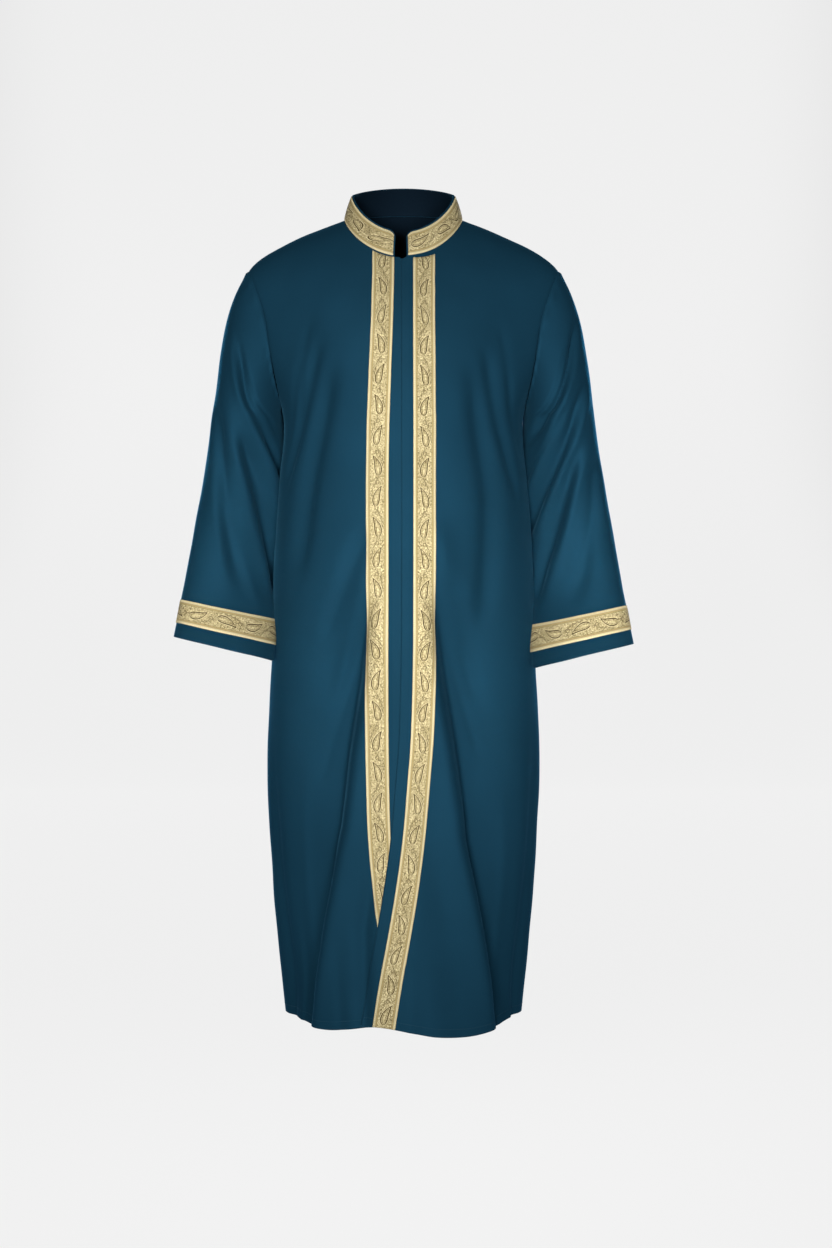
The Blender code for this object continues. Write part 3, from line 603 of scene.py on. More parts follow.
# ---------------------------------------------------------------------------------------------
# Fronts: two pieces of the same suiting. The wearer's left one laps over the right one, further
# and further towards the hem, where it swings across. Their edges are turned under and pressed.
# ---------------------------------------------------------------------------------------------
# How far right or left of the middle the edges of the over and the under front hang
FrontEdge = namedtuple("FrontEdge", "height over under")
FRONT_EDGES = (
    FrontEdge(-1.210, -0.062, 0.042),
    FrontEdge(-1.130, -0.050, 0.032),
    FrontEdge(-1.055, -0.037, 0.019),
    FrontEdge(-0.985, -0.026, 0.010),
    FrontEdge(-0.915, -0.017, 0.005),
    FrontEdge(-0.845, -0.011, 0.003),
    FrontEdge(-0.760, -0.005, 0.002),
    FrontEdge(-0.600, -0.002, 0.002),
    FrontEdge(-0.040, -0.002, 0.002),
)
NOTCH_DEPTH = 0.008
NOTCH_WIDTH = 0.008
NOTCH_RISE = 0.040
# How far each front's hem hangs below its even line, round the body
HemLine = namedtuple("HemLine", "angle over under")
HEM_LINE = (
    HemLine(-90, 0.0000, 0.0000),
    HemLine(-62, 0.0000, 0.0025),
    HemLine(-38, 0.0000, 0.0050),
    HemLine(-20, -0.0060, -0.0020),
    HemLine(-8, -0.0045, -0.0060),
    HemLine(5, 0.0030, -0.0060),
    HemLine(16, 0.0100, -0.0060),
    HemLine(33, 0.0135, -0.0030),
    HemLine(52, 0.0080, 0.0000),
    HemLine(72, 0.0020, 0.0000),
    HemLine(90, 0.0000, 0.0000),
)
HEM_LINE_RISE = 0.300
# How far the over front is lifted and the under one tucked back where they lap
Lap = namedtuple("Lap", "height lift tuck")
LAPS = (
    Lap(-1.210, 0.0048, 0.0040),
    Lap(-0.930, 0.0048, 0.0035),
    Lap(-0.780, 0.0030, 0.0005),
    Lap(-0.040, 0.0028, 0.0000),
)
LIFT_FADE = 0.050
TUCK_FADE = 0.030
# From this angle to the side seam the fronts' own folds fade, and the back's go on over them
SEAM_CALM = 70.0
# Each front's ribbon starts this far from its edge, the under one further below the chest
FRONT_BAND_WIDTH = 0.032
FRONT_BAND_FROM = {1: 0.0170, -1: 0.0155}
UNDER_BAND_DRIFT = 0.008
DRIFT_FROM = -0.400
DRIFT_TO = -0.050

FRONT_FOLDS = {
    -1: (
        Fold(-15, -0.52, -30, -0.90, -58, -1.27, 0.016, 0.090, -0.0300),
        Fold(-10, -0.52, -25, -0.90, -53, -1.27, 0.036, 0.010, 0.0105),
        Fold(-9, -0.90, -17, -1.05, -21, -1.60, 0.011, 0.013, -0.0065),
        Fold(-15, -0.45, -26, -0.54, -40, -0.64, 0.015, 0.015, -0.0045),
        Fold(-15, -0.52, -24, -0.61, -34, -0.72, 0.013, 0.013, 0.0030),
        Fold(-34, -0.20, -46, -0.38, -54, -0.56, 0.018, 0.026, -0.0085),
        Fold(-40, -0.17, -54, -0.29, -70, -0.42, 0.014, 0.016, -0.0055),
        Fold(-70, -0.72, -72, -0.98, -77, -1.70, 0.017, 0.020, -0.0045),
    ),
    1: (
        Fold(14, -0.52, 31, -0.92, 59, -1.27, 0.016, 0.090, -0.0320),
        Fold(9, -0.52, 26, -0.92, 54, -1.27, 0.036, 0.010, 0.0110),
        Fold(15, -0.44, 21, -0.55, 31, -0.66, 0.015, 0.015, 0.0035),
        Fold(17, -0.50, 27, -0.60, 38, -0.74, 0.015, 0.015, -0.0040),
        Fold(33, -0.20, 42, -0.42, 37, -0.64, 0.018, 0.026, -0.0085),
        Fold(39, -0.18, 51, -0.31, 65, -0.44, 0.014, 0.016, -0.0055),
        Fold(71, -0.68, 73, -0.95, 79, -1.70, 0.017, 0.020, -0.0045),
    ),
}
FRONT_CREASES = {
    -1: (
        Fold(-47, -0.14, -52, -0.21, -60, -0.32, 0.008, 0.010, -0.0014),
        Fold(-52, -0.20, -61, -0.27, -72, -0.36, 0.008, 0.009, -0.0014),
        Fold(-17, -0.60, -26, -0.70, -41, -0.86, 0.008, 0.010, -0.0014),
        Fold(-46, -0.78, -52, -1.00, -57, -1.70, 0.010, 0.012, 0.0014),
        Fold(-60, -1.02, -62, -1.12, -64, -1.70, 0.007, 0.007, 0.0014),
        Fold(-28, -1.02, -30, -1.12, -31, -1.70, 0.008, 0.008, -0.0014),
    ),
    1: (
        Fold(49, -0.15, 54, -0.22, 63, -0.33, 0.008, 0.010, -0.0014),
        Fold(54, -0.22, 62, -0.29, 72, -0.37, 0.008, 0.009, -0.0014),
        Fold(15, -0.58, 24, -0.66, 38, -0.82, 0.008, 0.010, -0.0014),
        Fold(47, -0.80, 54, -1.00, 60, -1.70, 0.010, 0.012, 0.0014),
        Fold(68, -1.02, 69, -1.12, 70, -1.70, 0.007, 0.007, 0.0016),
        Fold(8, -0.98, 4, -1.10, 1, -1.70, 0.012, 0.012, 0.0014),
    ),
}


def lap_push(place, lapping):
    """Return how far a front is moved by the lap of one front over the other."""
    edges = read_table(FRONT_EDGES, place[..., 2])
    lap = read_table(LAPS, place[..., 2])
    if lapping > 0:
        return lap.lift * (1.0 - smooth_step(edges.under, edges.under + LIFT_FADE, place[..., 0]))
    return -lap.tuck * smooth_step(edges.over, edges.over + TUCK_FADE, place[..., 0])


def front_surface(lapping):
    """Return the folded surface of a front: 1 for the over front, -1 for the under one."""
    folds = FRONT_FOLDS[-1] + FRONT_FOLDS[1] + FRONT_CREASES[lapping]

    def surface(angle, along):
        place = body_form(angle, along)
        line = read_table(HEM_LINE, angle)
        drop = line.over if lapping > 0 else line.under
        place[..., 2] -= drop * (1.0 - smooth_step(0.0, HEM_LINE_RISE, along))
        push = push_of_folds(folds, angle, place[..., 2])
        push = push * (1.0 - smooth_step(SEAM_CALM, SIDE, np.abs(angle)))
        push = push + push_of_folds(BACK_FOLDS, angle, place[..., 2]) + lap_push(place, lapping)
        return place + body_outward(body_form, angle, along) * push[..., None]

    return surface


def front_angle(side, inset, along):
    """Return the angle of a place on a front, a distance in from its front edge."""
    level = read_table(BODY_LEVELS, along)
    edges = read_table(FRONT_EDGES, level.front_z)
    edge = edges.over if side > 0 else edges.under
    return np.degrees(np.arcsin((edge + side * inset) / level.half_width))


def band_inset(side, share, along):
    """Return how far places across a front's ribbon lie from the front's edge."""
    height = read_table(BODY_LEVELS, along).front_z
    drift = UNDER_BAND_DRIFT * (1.0 - smooth_step(DRIFT_FROM, DRIFT_TO, height))
    return FRONT_BAND_FROM[side] + FRONT_BAND_WIDTH * share + (drift if side < 0 else 0.0)


EDGE_COLUMNS = (
    0.0, 0.0012, 0.003, 0.0055, 0.008, 0.012, 0.0165, 0.022, 0.028, 0.034, 0.040, 0.045, 0.049,
)
FRONT_COLUMNS = 80
TURN_BACK_ENDS = (0.024, 0.026)
for side, name in ((-1, "right"), (1, "left")):
    surface = front_surface(side)
    along = body_alongs[:, None]
    edge_insets = np.array(EDGE_COLUMNS)
    edge_angles = front_angle(side, edge_insets, along)
    far = side * (SIDE - armhole_bite(along, FRONT_BITE))
    seam_angles = far - side * np.array(SEAM_COLUMNS[::-1])
    start = edge_angles[:, -1:] + side * COLUMN_GAP
    stop = seam_angles[:, :1] - side * COLUMN_GAP
    middle_angles = start + (stop - start) * np.linspace(0.0, 1.0, FRONT_COLUMNS + 1)
    angles = np.concatenate([edge_angles, middle_angles, seam_angles], axis=1)
    notch = np.zeros(angles.shape)
    notch[:, : len(edge_insets)] = NOTCH_DEPTH * np.clip(1.0 - edge_insets / NOTCH_WIDTH, 0.0, 1.0)
    alongs = along - notch * smooth_step(NECK - NOTCH_RISE, NECK, along)
    points = surface(angles, alongs)
    walls = body_outward(surface, angles, alongs)
    across = length_along(points, 1)
    from_seam = across[:, -1:] - across
    points = loosened(points, walls, dipped(from_seam))
    thickness = turned_up(alongs) + TURNED_EDGE * (1.0 - smooth_step(*TURN_BACK_ENDS, across))
    weave = np.stack([side * across, alongs], -1)
    panel = walled_sheet("front_panel_" + name, points, walls, thickness, weave, suiting)
    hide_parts("front_" + name)
    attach(panel, "root")

# ---------------------------------------------------------------------------------------------
# Sleeves: each cut in one piece, seamed under the arm and set into its armhole. They widen to a
# straight open cuff, and crease where the elbow bends inside.
# ---------------------------------------------------------------------------------------------
# How much lower and wider each cuff is than the table of stations gives
Cuff = namedtuple("Cuff", "drop spread")
CUFFS = {-1: Cuff(0.0, 0.0), 1: Cuff(0.011, 0.001)}
CUFF_CHANGE_FROM = 0.150
Station = namedtuple(
    "Station",
    "down centre_x centre_y centre_z half_width half_depth skew cant lean squareness",
)
SLEEVE_STATIONS = (
    Station(0.000, 0.2338, 0.002, -0.290, 0.0535, 0.078, 0.026, 10.0, 0.0, 2.15),
    Station(0.100, 0.2405, -0.002, -0.388, 0.0607, 0.073, 0.044, 10.5, 1.0, 2.10),
    Station(0.195, 0.2533, -0.012, -0.480, 0.0640, 0.068, 0.050, 11.0, 2.0, 2.05),
    Station(0.285, 0.2628, -0.034, -0.568, 0.0695, 0.062, 0.040, 12.5, 3.0, 1.95),
    Station(0.362, 0.2680, -0.072, -0.642, 0.0772, 0.055, -0.002, 13.5, 4.0, 1.80),
)
SLEEVE_LENGTH = 0.362
CAP_SWELL = (0.33, 0.0, 0.22)
CAP_HEIGHT = 0.200
CAP_PLAIN = 0.040
SLEEVE_RADIUS = 0.068
INNER_REACH = 0.005
INNER_REACH_FROM = 0.08
INNER_REACH_TO = 0.29
TURN_STEP = 2.0
CAP_ROWS = 34
ARM_ROWS = 84
SLEEVE_ALLOWANCE = 0.020
CUFF_EDGE_ROWS = (0.004, 0.0012)
# The cloth dips at the armhole's seam, rolls up beside it, and puckers along it in waves
ARMHOLE_DIPS = 2.4
SEAM_ROLL = 0.0012
ROLL_AT = 0.006
ROLL_WIDTH = 0.005
PUCKER_DEPTH = 0.0005
PUCKER_WAVES = 23.0
PUCKER_DRIFT = 1.7
PUCKER_DRIFT_WAVES = 3.0
PUCKER_AT = 0.009
PUCKER_WIDTH = 0.008
PUCKER_FROM = 0.004

# Turn and place of each fold's start and end, its width and its depth
SleeveFold = namedtuple("SleeveFold", "start start_at end end_at width depth")
SLEEVE_FOLDS = {
    -1: (
        SleeveFold(46, -0.13, 160, 0.12, 0.0125, -0.0110),
        SleeveFold(33, -0.13, 147, 0.12, 0.0120, 0.0050),
        SleeveFold(92, -0.06, 168, 0.24, 0.0120, 0.0065),
        SleeveFold(80, 0.02, 170, 0.29, 0.0140, -0.0110),
        SleeveFold(66, 0.02, 156, 0.29, 0.0120, 0.0050),
        SleeveFold(28, -0.02, 112, 0.29, 0.0160, -0.0080),
        SleeveFold(12, -0.02, 96, 0.29, 0.0140, 0.0030),
        SleeveFold(235, -0.10, 320, 0.16, 0.0190, -0.0075),
        SleeveFold(200, 0.10, 290, 0.36, 0.0180, -0.0060),
    ),
    1: (
        SleeveFold(20, -0.14, 150, 0.05, 0.0120, -0.0100),
        SleeveFold(34, -0.05, 165, 0.20, 0.0135, -0.0110),
        SleeveFold(20, -0.05, 151, 0.20, 0.0120, 0.0045),
        SleeveFold(60, -0.08, 150, 0.14, 0.0120, 0.0055),
        SleeveFold(64, 0.05, 156, 0.29, 0.0140, -0.0100),
        SleeveFold(50, 0.05, 142, 0.29, 0.0120, 0.0045),
        SleeveFold(25, 0.06, 100, 0.30, 0.0160, -0.0070),
        SleeveFold(228, -0.08, 322, 0.18, 0.0180, -0.0075),
        SleeveFold(205, 0.12, 285, 0.36, 0.0180, -0.0060),
    ),
}
SLEEVE_CREASES = {
    -1: (
        SleeveFold(70, -0.10, 150, 0.04, 0.006, -0.0024),
        SleeveFold(80, 0.03, 158, 0.19, 0.007, -0.0022),
        SleeveFold(64, 0.12, 132, 0.30, 0.008, 0.0022),
        SleeveFold(250, -0.06, 306, 0.10, 0.007, -0.0020),
        SleeveFold(222, 0.04, 276, 0.22, 0.008, 0.0020),
    ),
    1: (
        SleeveFold(52, -0.12, 138, 0.00, 0.006, -0.0024),
        SleeveFold(72, -0.02, 156, 0.12, 0.006, -0.0022),
        SleeveFold(66, 0.10, 128, 0.28, 0.008, 0.0022),
        SleeveFold(248, -0.05, 304, 0.12, 0.007, -0.0020),
        SleeveFold(226, 0.05, 280, 0.24, 0.008, 0.0020),
    ),
}


def sleeve_ring(side, turn, down):
    """Return the points of a sleeve's rings below the armhole."""
    station = read_table(SLEEVE_STATIONS, down)
    cuff = CUFFS[side]
    low = smooth_step(CUFF_CHANGE_FROM, SLEEVE_LENGTH, down)
    outward, ahead = rounded(station.squareness, turn)
    cant, lean = np.radians(station.cant), np.radians(station.lean)
    half_width = station.half_width + cuff.spread * low
    inner = smooth_step(0.0, -1.0, outward) * smooth_step(0.0, INNER_REACH_FROM, down)
    inner = inner * (1.0 - smooth_step(INNER_REACH_TO, SLEEVE_LENGTH, down))
    x = station.centre_x + half_width * outward * np.cos(cant) - INNER_REACH * inner
    y = station.centre_y - station.half_depth * ahead * np.cos(lean)
    y = y + station.skew * (1.0 - outward) / 2.0
    z = station.centre_z - cuff.drop * low
    z = z + half_width * outward * np.sin(cant) + station.half_depth * ahead * np.sin(lean)
    return np.stack(np.broadcast_arrays(side * x, y, z), axis=-1)


def push_of_sleeve_folds(folds, turn, down):
    """Return how far folds push a sleeve's cloth out."""
    push = np.zeros(np.broadcast(turn, down).shape)
    for fold in folds:
        share = np.clip((down - fold.start_at) / (fold.end_at - fold.start_at), 0.0, 1.0)
        centre = fold.start + (fold.end - fold.start) * share
        fade = smooth_step(0.0, FOLD_FADE, share) * smooth_step(0.0, FOLD_FADE, 1.0 - share)
        across = np.radians(angle_between(turn, centre)) * SLEEVE_RADIUS / fold.width
        push = push + fold.depth * fade * np.exp(-across * across)
    return push


def armhole_edge(side, turn):
    """Return the points of an armhole's edge round its turn."""
    angle, along = armhole_place(side, turn)
    ahead = front_surface(side)(angle, along)
    behind = back_surface(angle, along)
    return np.where((np.sin(np.radians(turn)) > 0)[..., None], ahead, behind)


def sleeve_form(side):
    """Return a sleeve's smooth form: below 0 it is the cap, above 0 the arm."""

    def form(turn, down):
        arm = sleeve_ring(side, turn, np.maximum(down, 0.0))
        share = np.clip(1.0 + down / CAP_HEIGHT, 0.0, 1.0)[..., None]
        start = armhole_edge(side, turn)
        end = sleeve_ring(side, turn, np.zeros_like(down))
        reach = end - start
        length = np.linalg.norm(reach, axis=-1, keepdims=True)
        leaving = unit(sleeve_ring(side, turn, np.full_like(down, ALONG_STEP)) - end) * length
        top = np.maximum(np.cos(np.radians(turn)), 0.0)[..., None]
        swell = np.array([side * CAP_SWELL[0], CAP_SWELL[1], CAP_SWELL[2]])
        arriving = reach + swell * length * top
        cap = smooth_curve(start, end, arriving, leaving, share)
        return np.where((down >= 0.0)[..., None], arm, cap)

    return form


def sleeve_outward(side, surface, turn, down):
    """Return the outward directions of a surface on a sleeve, also at its ends."""
    inside = np.clip(down, 2 * ALONG_STEP - CAP_HEIGHT, SLEEVE_LENGTH - 2 * ALONG_STEP)
    return side * outward_of(surface, turn, inside, TURN_STEP, ALONG_STEP)


def sleeve_surface(side):
    """Return a sleeve's folded surface."""
    form = sleeve_form(side)
    folds = SLEEVE_FOLDS[side] + SLEEVE_CREASES[side]

    def surface(turn, down):
        fade = smooth_step(-CAP_HEIGHT, -CAP_HEIGHT + CAP_PLAIN, down)
        push = push_of_sleeve_folds(folds, turn, down) * fade
        return form(turn, down) + sleeve_outward(side, form, turn, down) * push[..., None]

    return surface


sleeve_turns = 180.0 * np.arange(2 * ARMHOLE_ROWS) / ARMHOLE_ROWS
cap_shares = np.concatenate([[0.0, 0.004, 0.012], np.linspace(0.03, 1.0, CAP_ROWS)[:-1]])
sleeve_downs = np.concatenate([
    CAP_HEIGHT * (cap_shares - 1.0),
    np.linspace(0.0, SLEEVE_LENGTH - CUFF_EDGE_ROWS[0], ARM_ROWS),
    [SLEEVE_LENGTH - CUFF_EDGE_ROWS[1], SLEEVE_LENGTH],
])
for side, name in ((-1, "right"), (1, "left")):
    surface = sleeve_surface(side)
    turn, down = np.meshgrid(sleeve_turns, sleeve_downs)
    points = surface(turn, down)
    walls = sleeve_outward(side, surface, turn, down)
    from_seam = length_along(points, 0)
    around = length_along(np.concatenate([points, points[:, :1]], axis=1), 1)
    turn_angle = np.radians(turn)
    drift = PUCKER_DRIFT * np.sin(turn_angle * PUCKER_DRIFT_WAVES)
    pucker = PUCKER_DEPTH * np.sin(turn_angle * PUCKER_WAVES + drift)
    pucker = pucker * np.exp(-((from_seam - PUCKER_AT) / PUCKER_WIDTH) ** 2)
    pucker = pucker * smooth_step(0.0, PUCKER_FROM, from_seam)
    roll = SEAM_ROLL * np.exp(-(((from_seam - ROLL_AT) / ROLL_WIDTH) ** 2))
    points = loosened(points, walls, ARMHOLE_DIPS * dipped(from_seam) + roll + pucker)
    turn_up = SLEEVE_LENGTH - SLEEVE_ALLOWANCE
    thickness = CLOTH_WALL + TURNED_EDGE * smooth_step(turn_up - HEM_PRESSED, turn_up, down)
    weave = np.stack([around, np.concatenate([from_seam, from_seam[:, :1]], axis=1)], -1)
    piece = walled_sheet("sleeve_cloth_" + name, points, walls, thickness, weave, suiting, True)
    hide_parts("sleeve_" + name)
    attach(piece, "root")

# ---------------------------------------------------------------------------------------------
# Collar: a stand collar of two layers of the suiting with stiffening between them, its front
# corners rounded. Its fronts stop short of each other, over the notch at the neck.
# ---------------------------------------------------------------------------------------------
COLLAR_HEIGHT = 0.041
COLLAR_TOP = Level(
    NECK + COLLAR_HEIGHT, 0.038, -0.021, 0.053, 0.0765, 0.0, 0.061, 0.058, 2.05, 1.4
)
COLLAR_CORNER_RADIUS = 0.012
COLLAR_BULGE = 0.0012
COLLAR_FROM = {1: 0.008, -1: 0.0155}
COLLAR_WALL = 0.0020
COLLAR_ROWS = (0.0, 0.03, 0.08, 0.2, 0.35, 0.5, 0.65, 0.8, 0.88, 0.93, 0.96, 0.985, 1.0)
RISE_STEP = 0.05
COLLAR_ENDS = (0.0, 0.0008, 0.002, 0.0035, 0.0055, 0.008, 0.0105, 0.013)
COLLAR_COLUMNS = 120


def collar_lines():
    """Return the collar's feet at the neckline and how high each column of it reaches."""
    ends = np.array(COLLAR_ENDS)
    starts = [front_angle(side, COLLAR_FROM[side] + ends, NECK) for side in (1, -1)]
    middle = np.linspace(starts[0][-1], 360.0 + starts[1][-1], COLLAR_COLUMNS)[1:-1]
    angles = np.concatenate([starts[0], middle, 360.0 + starts[1][::-1]])
    along = np.full_like(angles, NECK)
    round_angles = angle_between(angles, 0.0)
    left, right = front_surface(1)(round_angles, along), front_surface(-1)(round_angles, along)
    back = back_surface(angles, along)
    at_front = (abs(round_angles) < SIDE)[:, None]
    feet = np.where(at_front, np.where((round_angles > 0)[:, None], left, right), back)
    inset = length_along(feet, 0)
    inset = np.minimum(inset, inset[-1] - inset)
    short = np.maximum(COLLAR_CORNER_RADIUS - inset, 0.0)
    drop = COLLAR_CORNER_RADIUS - np.sqrt(COLLAR_CORNER_RADIUS**2 - short**2)
    return angles, feet, 1.0 - drop / COLLAR_HEIGHT


collar_angles, collar_feet, collar_reach = collar_lines()


def collar_surface(rise):
    """Return the collar's points at a rise from the neckline at 0 to its top edge at 1."""
    reached = rise * collar_reach
    top = ring_point(COLLAR_TOP, collar_angles)
    outward = unit(collar_feet * (1.0, 1.0, 0.0))
    bulge = COLLAR_BULGE * 4.0 * reached * (1.0 - reached)
    return collar_feet + (top - collar_feet) * reached[..., None] + outward * bulge[..., None]


def collar_grid(rises):
    """Return the collar's points and outward directions at some rises."""
    points = collar_surface(np.array(rises)[:, None])
    leaning = collar_surface(np.array(rises)[:, None] + RISE_STEP) - points
    around = np.gradient(points, axis=1)
    return points, unit(np.cross(around, leaning))


points, walls = collar_grid(COLLAR_ROWS)
rise = np.broadcast_to(np.array(COLLAR_ROWS)[:, None], points.shape[:2])
weave = np.stack([length_along(points, 1), rise * COLLAR_HEIGHT], -1)
push = dipped(rise * COLLAR_HEIGHT)
collar_piece = walled_sheet(
    "stand_collar", points + walls * push[..., None], walls, COLLAR_WALL, weave, suiting
)
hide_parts("collar")
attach(collar_piece, "root")

# ---------------------------------------------------------------------------------------------
# Ribbons: gold jacquard, woven with pale edges and a row of paisleys. One runs along the collar,
# one down each front, set back from its edge, and one round each cuff, above the cuff's edge.
# ---------------------------------------------------------------------------------------------
RIBBON_LIFT = 0.00015
RIBBON_WALL = 0.0009
CUFF_BAND_INSET = 0.022
CUFF_BAND_WIDTH = 0.036
RIBBON_COLUMNS = 12
CUFF_JOIN_TURN = 200.0
COLLAR_BAND_RISES = np.linspace(0.05, 0.94, 12)
COLLAR_BAND_ENDS = 2
# How far under the collar's seam each front's ribbon starts, at its inner and outer edge
BAND_TOPS = {1: (0.0060, 0.0125), -1: (0.0020, 0.0020)}

# The woven pattern, in millimetres: a paisley and a rosette in each repeat, a leafy vine, and
# winding scrolls between them, with a stripe and a pale edge on both sides
MILLIMETRES = 1000.0
HALF_WIDTH = 16.5
REPEAT = 45.0
PAISLEY_FROM = 5.0
PAISLEY_LENGTH = 29.0
PAISLEY_WIDTH = 12.0
PAISLEY_LEAN = -1.8
PAISLEY_CURL = 8.0
ROSETTE_AT = 40.0
ROSETTE_SIZE = 2.6
VINE_SWING = 7.8
LEAF_EVERY = 7.5
SCROLL_LINES = 9.0
STRIPE_FROM = 10.6
EDGE_FROM = 13.0
WARP_RIB = 0.9
WEAVE_DEPTH = 0.00035


def jacquard(name, ground, raised, line, stripe, edge):
    """Make the ribbon's material in its colours."""
    material, tree, shader = material_with(name, 0.48, Metallic=0.10, Specular_IOR_Level=0.0)
    place = add_node(tree, "ShaderNodeUVMap", {}, uv_map="weave").outputs["UV"]
    spread = add_node(tree, "ShaderNodeSeparateXYZ", {"Vector": place}).outputs
    along = Value(tree, spread["X"]) * MILLIMETRES
    across = Value(tree, spread["Y"]) * HALF_WIDTH
    inputs = {"X": along.socket, "Y": across.socket}
    scaled = add_node(tree, "ShaderNodeCombineXYZ", inputs).outputs[0]

    repeats = along * (1.0 / REPEAT)
    spot = repeats.math("FRACT") * REPEAT
    other = (repeats * 0.5).math("FRACT").math("GREATER_THAN", 0.5)
    mirrored = across * (other * -2.0 + 1.0)
    share = (spot - PAISLEY_FROM) * (1.0 / PAISLEY_LENGTH)
    held = share.math("MAXIMUM", 0.0).math("MINIMUM", 1.0)
    centre = held * held * held * PAISLEY_CURL + PAISLEY_LEAN
    width = held.math("SQRT") * (held * -1.0 + 1.0).math("POWER", 0.9) * PAISLEY_WIDTH
    past = (share - held).math("ABSOLUTE") * PAISLEY_LENGTH
    outside = (mirrored - centre).math("ABSOLUTE") - width + past
    bare = outside.below(1.2, 1.8) * -1.0 + 1.0

    swing = (spot * (math.pi / REPEAT)).math("SINE") * VINE_SWING
    leaf = (along * (math.tau / LEAF_EVERY)).math("SINE").math("MAXIMUM", 0.0)
    vine = (mirrored + swing).math("ABSOLUTE") - leaf * 1.7
    to_rosette = (spot - ROSETTE_AT).math("ABSOLUTE")
    rosette = (to_rosette * to_rosette + across * across).math("SQRT")
    petals = (rosette - ROSETTE_SIZE).math("ABSOLUTE").below(0.3, 0.7)
    winding = texture(tree, "Noise", Vector=scaled, Scale=0.11, Detail=1.0)
    curls = (winding * (math.tau * SCROLL_LINES)).math("SINE").below(-0.9, -0.3)

    threads = texture(tree, "Noise", Vector=scaled, Scale=0.40, Detail=3.0, Roughness=0.85)
    grains = texture(tree, "Voronoi", Vector=scaled, Scale=0.75)
    worn = texture(tree, "Noise", Vector=scaled, Scale=0.035, Detail=1.0)
    outline = outside.math("ABSOLUTE").below(0.50, 1.10)
    inner = (outside + 2.2).math("ABSOLUTE").below(0.20, 0.60)
    stem = (vine - 0.3).math("ABSOLUTE").below(0.20, 0.55) * bare
    drawn = outline.math("MAXIMUM", inner * 0.7).math("MAXIMUM", stem * 0.7)
    drawn = drawn.math("MAXIMUM", petals * 0.7).math("MAXIMUM", curls * bare * 0.55)
    drawn = drawn * (threads * 1.6 + 0.2)

    light_line = (outside - 1.2).math("ABSOLUTE").below(0.2, 0.6) * 0.6
    shade = light_line + (threads - 0.5) * 4.6 + (grains - 0.5) * 0.7 + (worn - 0.5) * 0.7 + 0.50
    colour = blend_colours(tree, shade, ground, raised)
    colour = blend_colours(tree, drawn + threads.below(0.36, 0.42) * 0.4, colour, line)
    off_middle = across.math("ABSOLUTE")
    in_stripe = off_middle.below(STRIPE_FROM - 0.1, STRIPE_FROM + 0.1) * -1.0 + 1.0
    in_edge = off_middle.below(EDGE_FROM - 0.1, EDGE_FROM + 0.1) * -1.0 + 1.0
    colour = blend_colours(tree, in_stripe * 0.85, colour, stripe)
    colour = blend_colours(tree, in_edge * 0.9, colour, edge)
    bounds = (off_middle - STRIPE_FROM).math("ABSOLUTE").math(
        "MINIMUM", (off_middle - EDGE_FROM).math("ABSOLUTE")
    ).below(0.10, 0.45)
    colour = blend_colours(tree, bounds * 0.45, colour, line)
    tree.links.new(colour, shader.inputs["Base Color"])

    rib = (across * (math.tau / WARP_RIB)).math("SINE") * 0.12
    height = shade * 0.5 - drawn * 0.9 + rib + in_edge * 0.4
    inputs = {"Height": height.socket, "Strength": 0.6, "Distance": WEAVE_DEPTH}
    tree.links.new(add_node(tree, "ShaderNodeBump", inputs).outputs[0], shader.inputs["Normal"])
    return material


gold = jacquard(
    "gold_jacquard",
    ground=linear(104, 93, 62),
    raised=linear(167, 156, 121),
    line=linear(50, 38, 18),
    stripe=linear(121, 107, 72),
    edge=linear(150, 140, 110),
)


def lay_ribbon(name, node, points, walls, weave, closed=False):
    """Lay a ribbon of a cut width and length on points of the cloth below it."""
    over = points + walls * (RIBBON_LIFT + RIBBON_WALL)
    ribbon = walled_sheet(name, over, walls, RIBBON_WALL, weave, (gold,), closed)
    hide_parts(node)
    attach(ribbon, "root")


def across_ribbon(points, axis):
    """Return places across a ribbon, from -1 at its first edge to 1 at its last."""
    length = length_along(points, axis)
    return 2.0 * length / np.take(length, [-1], axis=axis) - 1.0


EDGE_STITCH_INSET = 0.0012
ribbon_seams = []


def sew_edges(points, walls, closed=False):
    """Note the two lines of stitches inside the first and the last row of a ribbon's points."""
    over = points + walls * (RIBBON_LIFT + RIBBON_WALL)
    for edge, inner in ((0, 1), (-1, -2)):
        way = over[inner] - over[edge]
        step = EDGE_STITCH_INSET / np.linalg.norm(way, axis=-1, keepdims=True)
        ribbon_seams.append((over[edge] + way * step, walls[edge], closed))


points, walls = collar_grid(COLLAR_BAND_RISES)
points = points[:, COLLAR_BAND_ENDS:-COLLAR_BAND_ENDS]
walls = walls[:, COLLAR_BAND_ENDS:-COLLAR_BAND_ENDS]
weave = np.stack([length_along(points, 1), across_ribbon(points, 0)], -1)
lay_ribbon("collar_ribbon", "collar_band", points, walls, weave)
sew_edges(points, walls)

for side, name in ((-1, "right"), (1, "left")):
    surface = front_surface(side)
    inner_top, outer_top = BAND_TOPS[side]
    shares = np.linspace(0.0, 1.0, RIBBON_COLUMNS)
    below = body_alongs[body_alongs < NECK - outer_top - ROW_GAP]
    alongs = np.repeat(below[:, None], RIBBON_COLUMNS, 1)
    top = NECK - inner_top - (outer_top - inner_top) * shares
    alongs = np.concatenate([alongs, top[None, :]])
    angles = front_angle(side, band_inset(side, shares, alongs), alongs)
    points = surface(angles, alongs)
    walls = body_outward(surface, angles, alongs)
    weave = np.stack([length_along(points, 0), across_ribbon(points, 1)], -1)
    points = loosened(points, walls, np.zeros(alongs.shape))
    lay_ribbon(
        "front_ribbon_" + name, "front_band_" + name,
        points, walls, weave,
    )
    sew_edges(points.swapaxes(0, 1), walls.swapaxes(0, 1))

